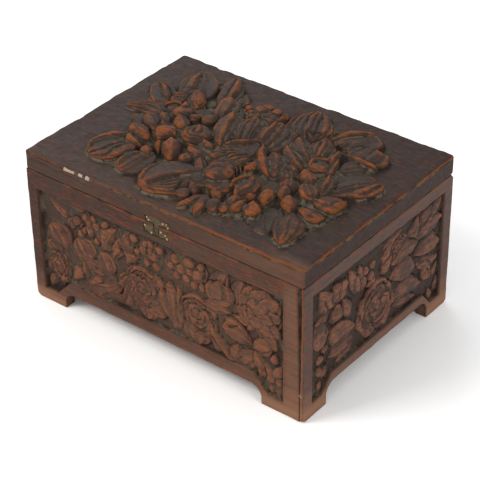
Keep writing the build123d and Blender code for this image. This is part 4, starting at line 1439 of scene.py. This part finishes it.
LONG_WALL_WOOD = carved_wood(
    "wood_long_walls", grain=0, dark=(0.032, 0.017, 0.012), mid=(0.079, 0.037, 0.026),
    worn=(0.146, 0.053, 0.025), gap_shade=(0.036, 0.024, 0.018), ground=(0.038, 0.019, 0.013),
    dust_amount=0.6, wear_from=0.1, wear_to=0.9,
)
SHORT_WALL_WOOD = carved_wood(
    "wood_short_walls", grain=1, dark=(0.032, 0.020, 0.016), mid=(0.078, 0.043, 0.032),
    worn=(0.140, 0.060, 0.037), gap_shade=(0.017, 0.012, 0.010), ground=(0.086, 0.051, 0.040),
    dust_amount=0.4, wear_from=0.0, wear_to=0.8,
)
LID_WOOD = carved_wood(
    "wood_lid", grain=0, dark=(0.025, 0.017, 0.012), mid=(0.046, 0.027, 0.020),
    worn=(0.154, 0.045, 0.012), gap_shade=(0.030, 0.025, 0.020), ground=(0.0245, 0.0155, 0.0127),
    dust_amount=0.75, wear_from=0.45, wear_to=1.7,
)

# The walls: the front one takes the lower clasp plate, the back one the hinges
boxes, rods = hinge_cutters(-1)
front_wall = wall_piece(
    "front_wall", FRONT_FACE, carve_front, WIDTH, facing(0, 0, -DEPTH / 2), 100, joint_open=True
)
low, high = clasp_box("clasp_body_plate")
NOTCH_LEFT, NOTCH_RIGHT, NOTCH_LOW = -3.65, 0.65, 97.25
notch = (NOTCH_LEFT, low[1], NOTCH_LOW), (NOTCH_RIGHT, high[1] + 0.35, BODY_TOP + 1)
cut(front_wall, [(low, high), notch])
right_wall = wall_piece(
    "right_wall", SIDE_FACE, carve_side, DEPTH, facing(90, WIDTH / 2, 0), 200, bevel="end"
)
back_wall = wall_piece(
    "back_wall", FRONT_FACE, carve_front, WIDTH, facing(180, 0, DEPTH / 2), 300, flipped=True,
    bevel="top",
)
cut(back_wall, boxes, rods)
left_wall = wall_piece(
    "left_wall", SIDE_FACE, carve_side, DEPTH, facing(-90, -WIDTH / 2, 0), 400, flipped=True,
    bevel="end",
)
for wall, board, wood in (
    (front_wall, "front_board", LONG_WALL_WOOD), (right_wall, "right_board", SHORT_WALL_WOOD),
    (back_wall, "back_board", LONG_WALL_WOOD), (left_wall, "left_board", SHORT_WALL_WOOD),
):
    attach(wall, "body")
    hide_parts(board)
    give(wall, wood)

lid = lid_piece("carved_lid")
boxes, rods = hinge_cutters(1)
low, high = clasp_box("clasp_lid_plate")
cut(lid, boxes + [(low, high)], rods)
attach(lid, "lid")
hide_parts("lid_board")
give(lid, LID_WOOD)

FELT = felt("red_felt")
for name, node, face_axis, face_sign, body in (
    ("felt_floor", "floor_lining", 2, 1, "body"), ("felt_front", "front_lining", 1, 1, "body"),
    ("felt_back", "back_lining", 1, -1, "body"), ("felt_left", "left_lining", 0, 1, "body"),
    ("felt_right", "right_lining", 0, -1, "body"), ("felt_lid", "lid_lining", 2, -1, "lid"),
):
    piece, flat = felt_piece(name, node, face_axis, face_sign, 500 + len(name))
    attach(piece, body)
    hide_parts(node)
    give(piece, FELT)

# The pieces that stay as CAD has them
give(frame["nodes"]["bottom_board"], plain_wood("wood_bottom"))
HINGE_BRASS = brass(
    "brass_hinges", bright=(0.62, 0.46, 0.20), dull=(0.36, 0.25, 0.11), patina=(0.12, 0.14, 0.08),
    patina_share=0.4,
)
for node in (
    "left_hinge_body_leaf", "right_hinge_body_leaf", "left_hinge_lid_leaf", "right_hinge_lid_leaf",
    "left_hinge_pin", "right_hinge_pin", "hinge_lid_screws", "hinge_body_screws",
):
    give(frame["nodes"][node], HINGE_BRASS)

PLATE_BRASS = brass(
    "brass_plates", bright=(0.11, 0.070, 0.032), dull=(0.042, 0.026, 0.015),
    patina=(0.050, 0.046, 0.028), patina_share=0.85,
)
NAIL_BRASS = brass(
    "brass_nails", bright=(0.42, 0.31, 0.16), dull=(0.22, 0.15, 0.07), patina=(0.14, 0.12, 0.07),
    patina_share=0.5,
)

# The clasp: the upper plate with its tongue, the lower plate with its notch, and the nails
(x0, front_y, z0), (x1, back_y, z1) = node_box("clasp_lid_plate")
plate_low = LID_BOTTOM
tongue_mid, tongue_half = -1.5, 1.8
tongue_left, tongue_right = tongue_mid - tongue_half, tongue_mid + tongue_half
lid_plate = plate_piece(
    "clasp_hasp",
    [
        (x0 + 0.3, plate_low + 0.1), (tongue_left, plate_low), (tongue_left, z0 + 1.0),
        (tongue_mid - 0.9, z0 + 0.1), (tongue_mid + 1.0, z0), (tongue_right, z0 + 0.9),
        (tongue_right, plate_low), (5.2, plate_low + 0.25), (x1 - 0.2, plate_low), (x1, z1 - 1.2),
        (x1 - 0.9, z1 - 0.1), (4.4, z1 - 0.5), (0.2, z1), (-5.8, z1 - 0.4), (x0 + 1.0, z1),
        (x0, z1 - 1.6),
    ],
    front_y, back_y - front_y,
)
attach(lid_plate, "lid")
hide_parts("clasp_lid_plate")
give(lid_plate, PLATE_BRASS)
(x0, front_y, z0), (x1, back_y, z1) = node_box("clasp_body_plate")
body_plate = plate_piece(
    "clasp_keeper",
    [
        (x0 + 0.4, z0 + 1.8), (-5.0, z0 + 0.2), (-0.4, z0), (4.6, z0 + 0.5), (x1 - 0.8, z0),
        (x1, z0 + 1.4), (x1 - 0.3, z1 - 0.6), (5.0, z1), (NOTCH_RIGHT, z1 - 0.2),
        (NOTCH_RIGHT, NOTCH_LOW), (NOTCH_LEFT, NOTCH_LOW), (NOTCH_LEFT, z1 - 0.1), (-8.0, z1),
        (x0, z1 - 0.9),
    ],
    front_y, back_y - front_y,
)
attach(body_plate, "body")
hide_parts("clasp_body_plate")
give(body_plate, PLATE_BRASS)
for node in ("clasp_lid_nails", "clasp_body_nails"):
    give(frame["nodes"][node], NAIL_BRASS)


# ---------------------------------------------------------------- floor, light and camera

bpy.ops.mesh.primitive_plane_add(size=30)
floor = bpy.context.object
floor.name = "studio_floor"
floor_look = Shader("studio_floor")
floor.data.materials.append(floor_look.finish((0.93, 0.93, 0.93), 0.9, specular=0.1))


def soft_light(name, place, size, watts, colour=(1, 1, 1)):
    """A square soft light at place, in metres, aimed at the middle of the box."""
    lamp = bpy.data.lights.new(name, "AREA")
    lamp.shape = "SQUARE"
    lamp.size = size
    lamp.energy = watts
    lamp.color = colour
    obj = bpy.data.objects.new(name, lamp)
    obj.location = place
    aim = Vector((0, 0, 0.05)) - Vector(place)
    obj.rotation_euler = aim.to_track_quat("-Z", "Y").to_euler()
    bpy.context.scene.collection.objects.link(obj)


soft_light("key", (-0.9, -1.3, 1.6), size=0.9, watts=28, colour=(1.0, 0.97, 0.93))
soft_light("back_left", (-1.3, 1.2, 1.2), size=0.9, watts=7, colour=(0.93, 0.97, 1.0))
soft_light("right_fill", (1.8, -0.4, 1.0), size=1.0, watts=14)

world = bpy.data.worlds.new("studio")
world.use_nodes = True
world.node_tree.nodes["Background"].inputs["Color"].default_value = (1, 1, 1, 1)
world.node_tree.nodes["Background"].inputs["Strength"].default_value = 0.85
bpy.context.scene.world = world
bpy.context.scene.view_settings.view_transform = "Standard"

# The camera that took the photo, as its fit to the box's corners gave it
CAMERA_TURN = math.radians(38.88)
CAMERA_RISE = math.radians(34.32)
CAMERA_ROLL = math.radians(-0.95)
CAMERA_DISTANCE = 5.1419 * WIDTH * MM
AIM_HEIGHT = 0.5109 * WIDTH * MM / 2
AIM_RIGHT, AIM_DOWN = 0.0011, 0.0384   # of the box's width
back = Vector((
    math.sin(CAMERA_TURN) * math.cos(CAMERA_RISE),
    -math.cos(CAMERA_TURN) * math.cos(CAMERA_RISE),
    math.sin(CAMERA_RISE),
))
level_right = (-back).cross(Vector((0, 0, 1))).normalized()
level_up = level_right.cross(-back)
right = math.cos(CAMERA_ROLL) * level_right + math.sin(CAMERA_ROLL) * level_up
upward = -math.sin(CAMERA_ROLL) * level_right + math.cos(CAMERA_ROLL) * level_up
aside = (right * AIM_RIGHT - upward * AIM_DOWN) * WIDTH * MM
middle = Vector((0, 0, AIM_HEIGHT)) + aside
camera_data = bpy.data.cameras.new("camera")
camera_data.lens = 131.6
camera_data.sensor_width = 36
camera = bpy.data.objects.new("camera", camera_data)
turn = Matrix((right, upward, back)).transposed().to_4x4()
camera.matrix_world = Matrix.Translation(middle + back * CAMERA_DISTANCE) @ turn
bpy.context.scene.collection.objects.link(camera)
bpy.context.scene.camera = camera
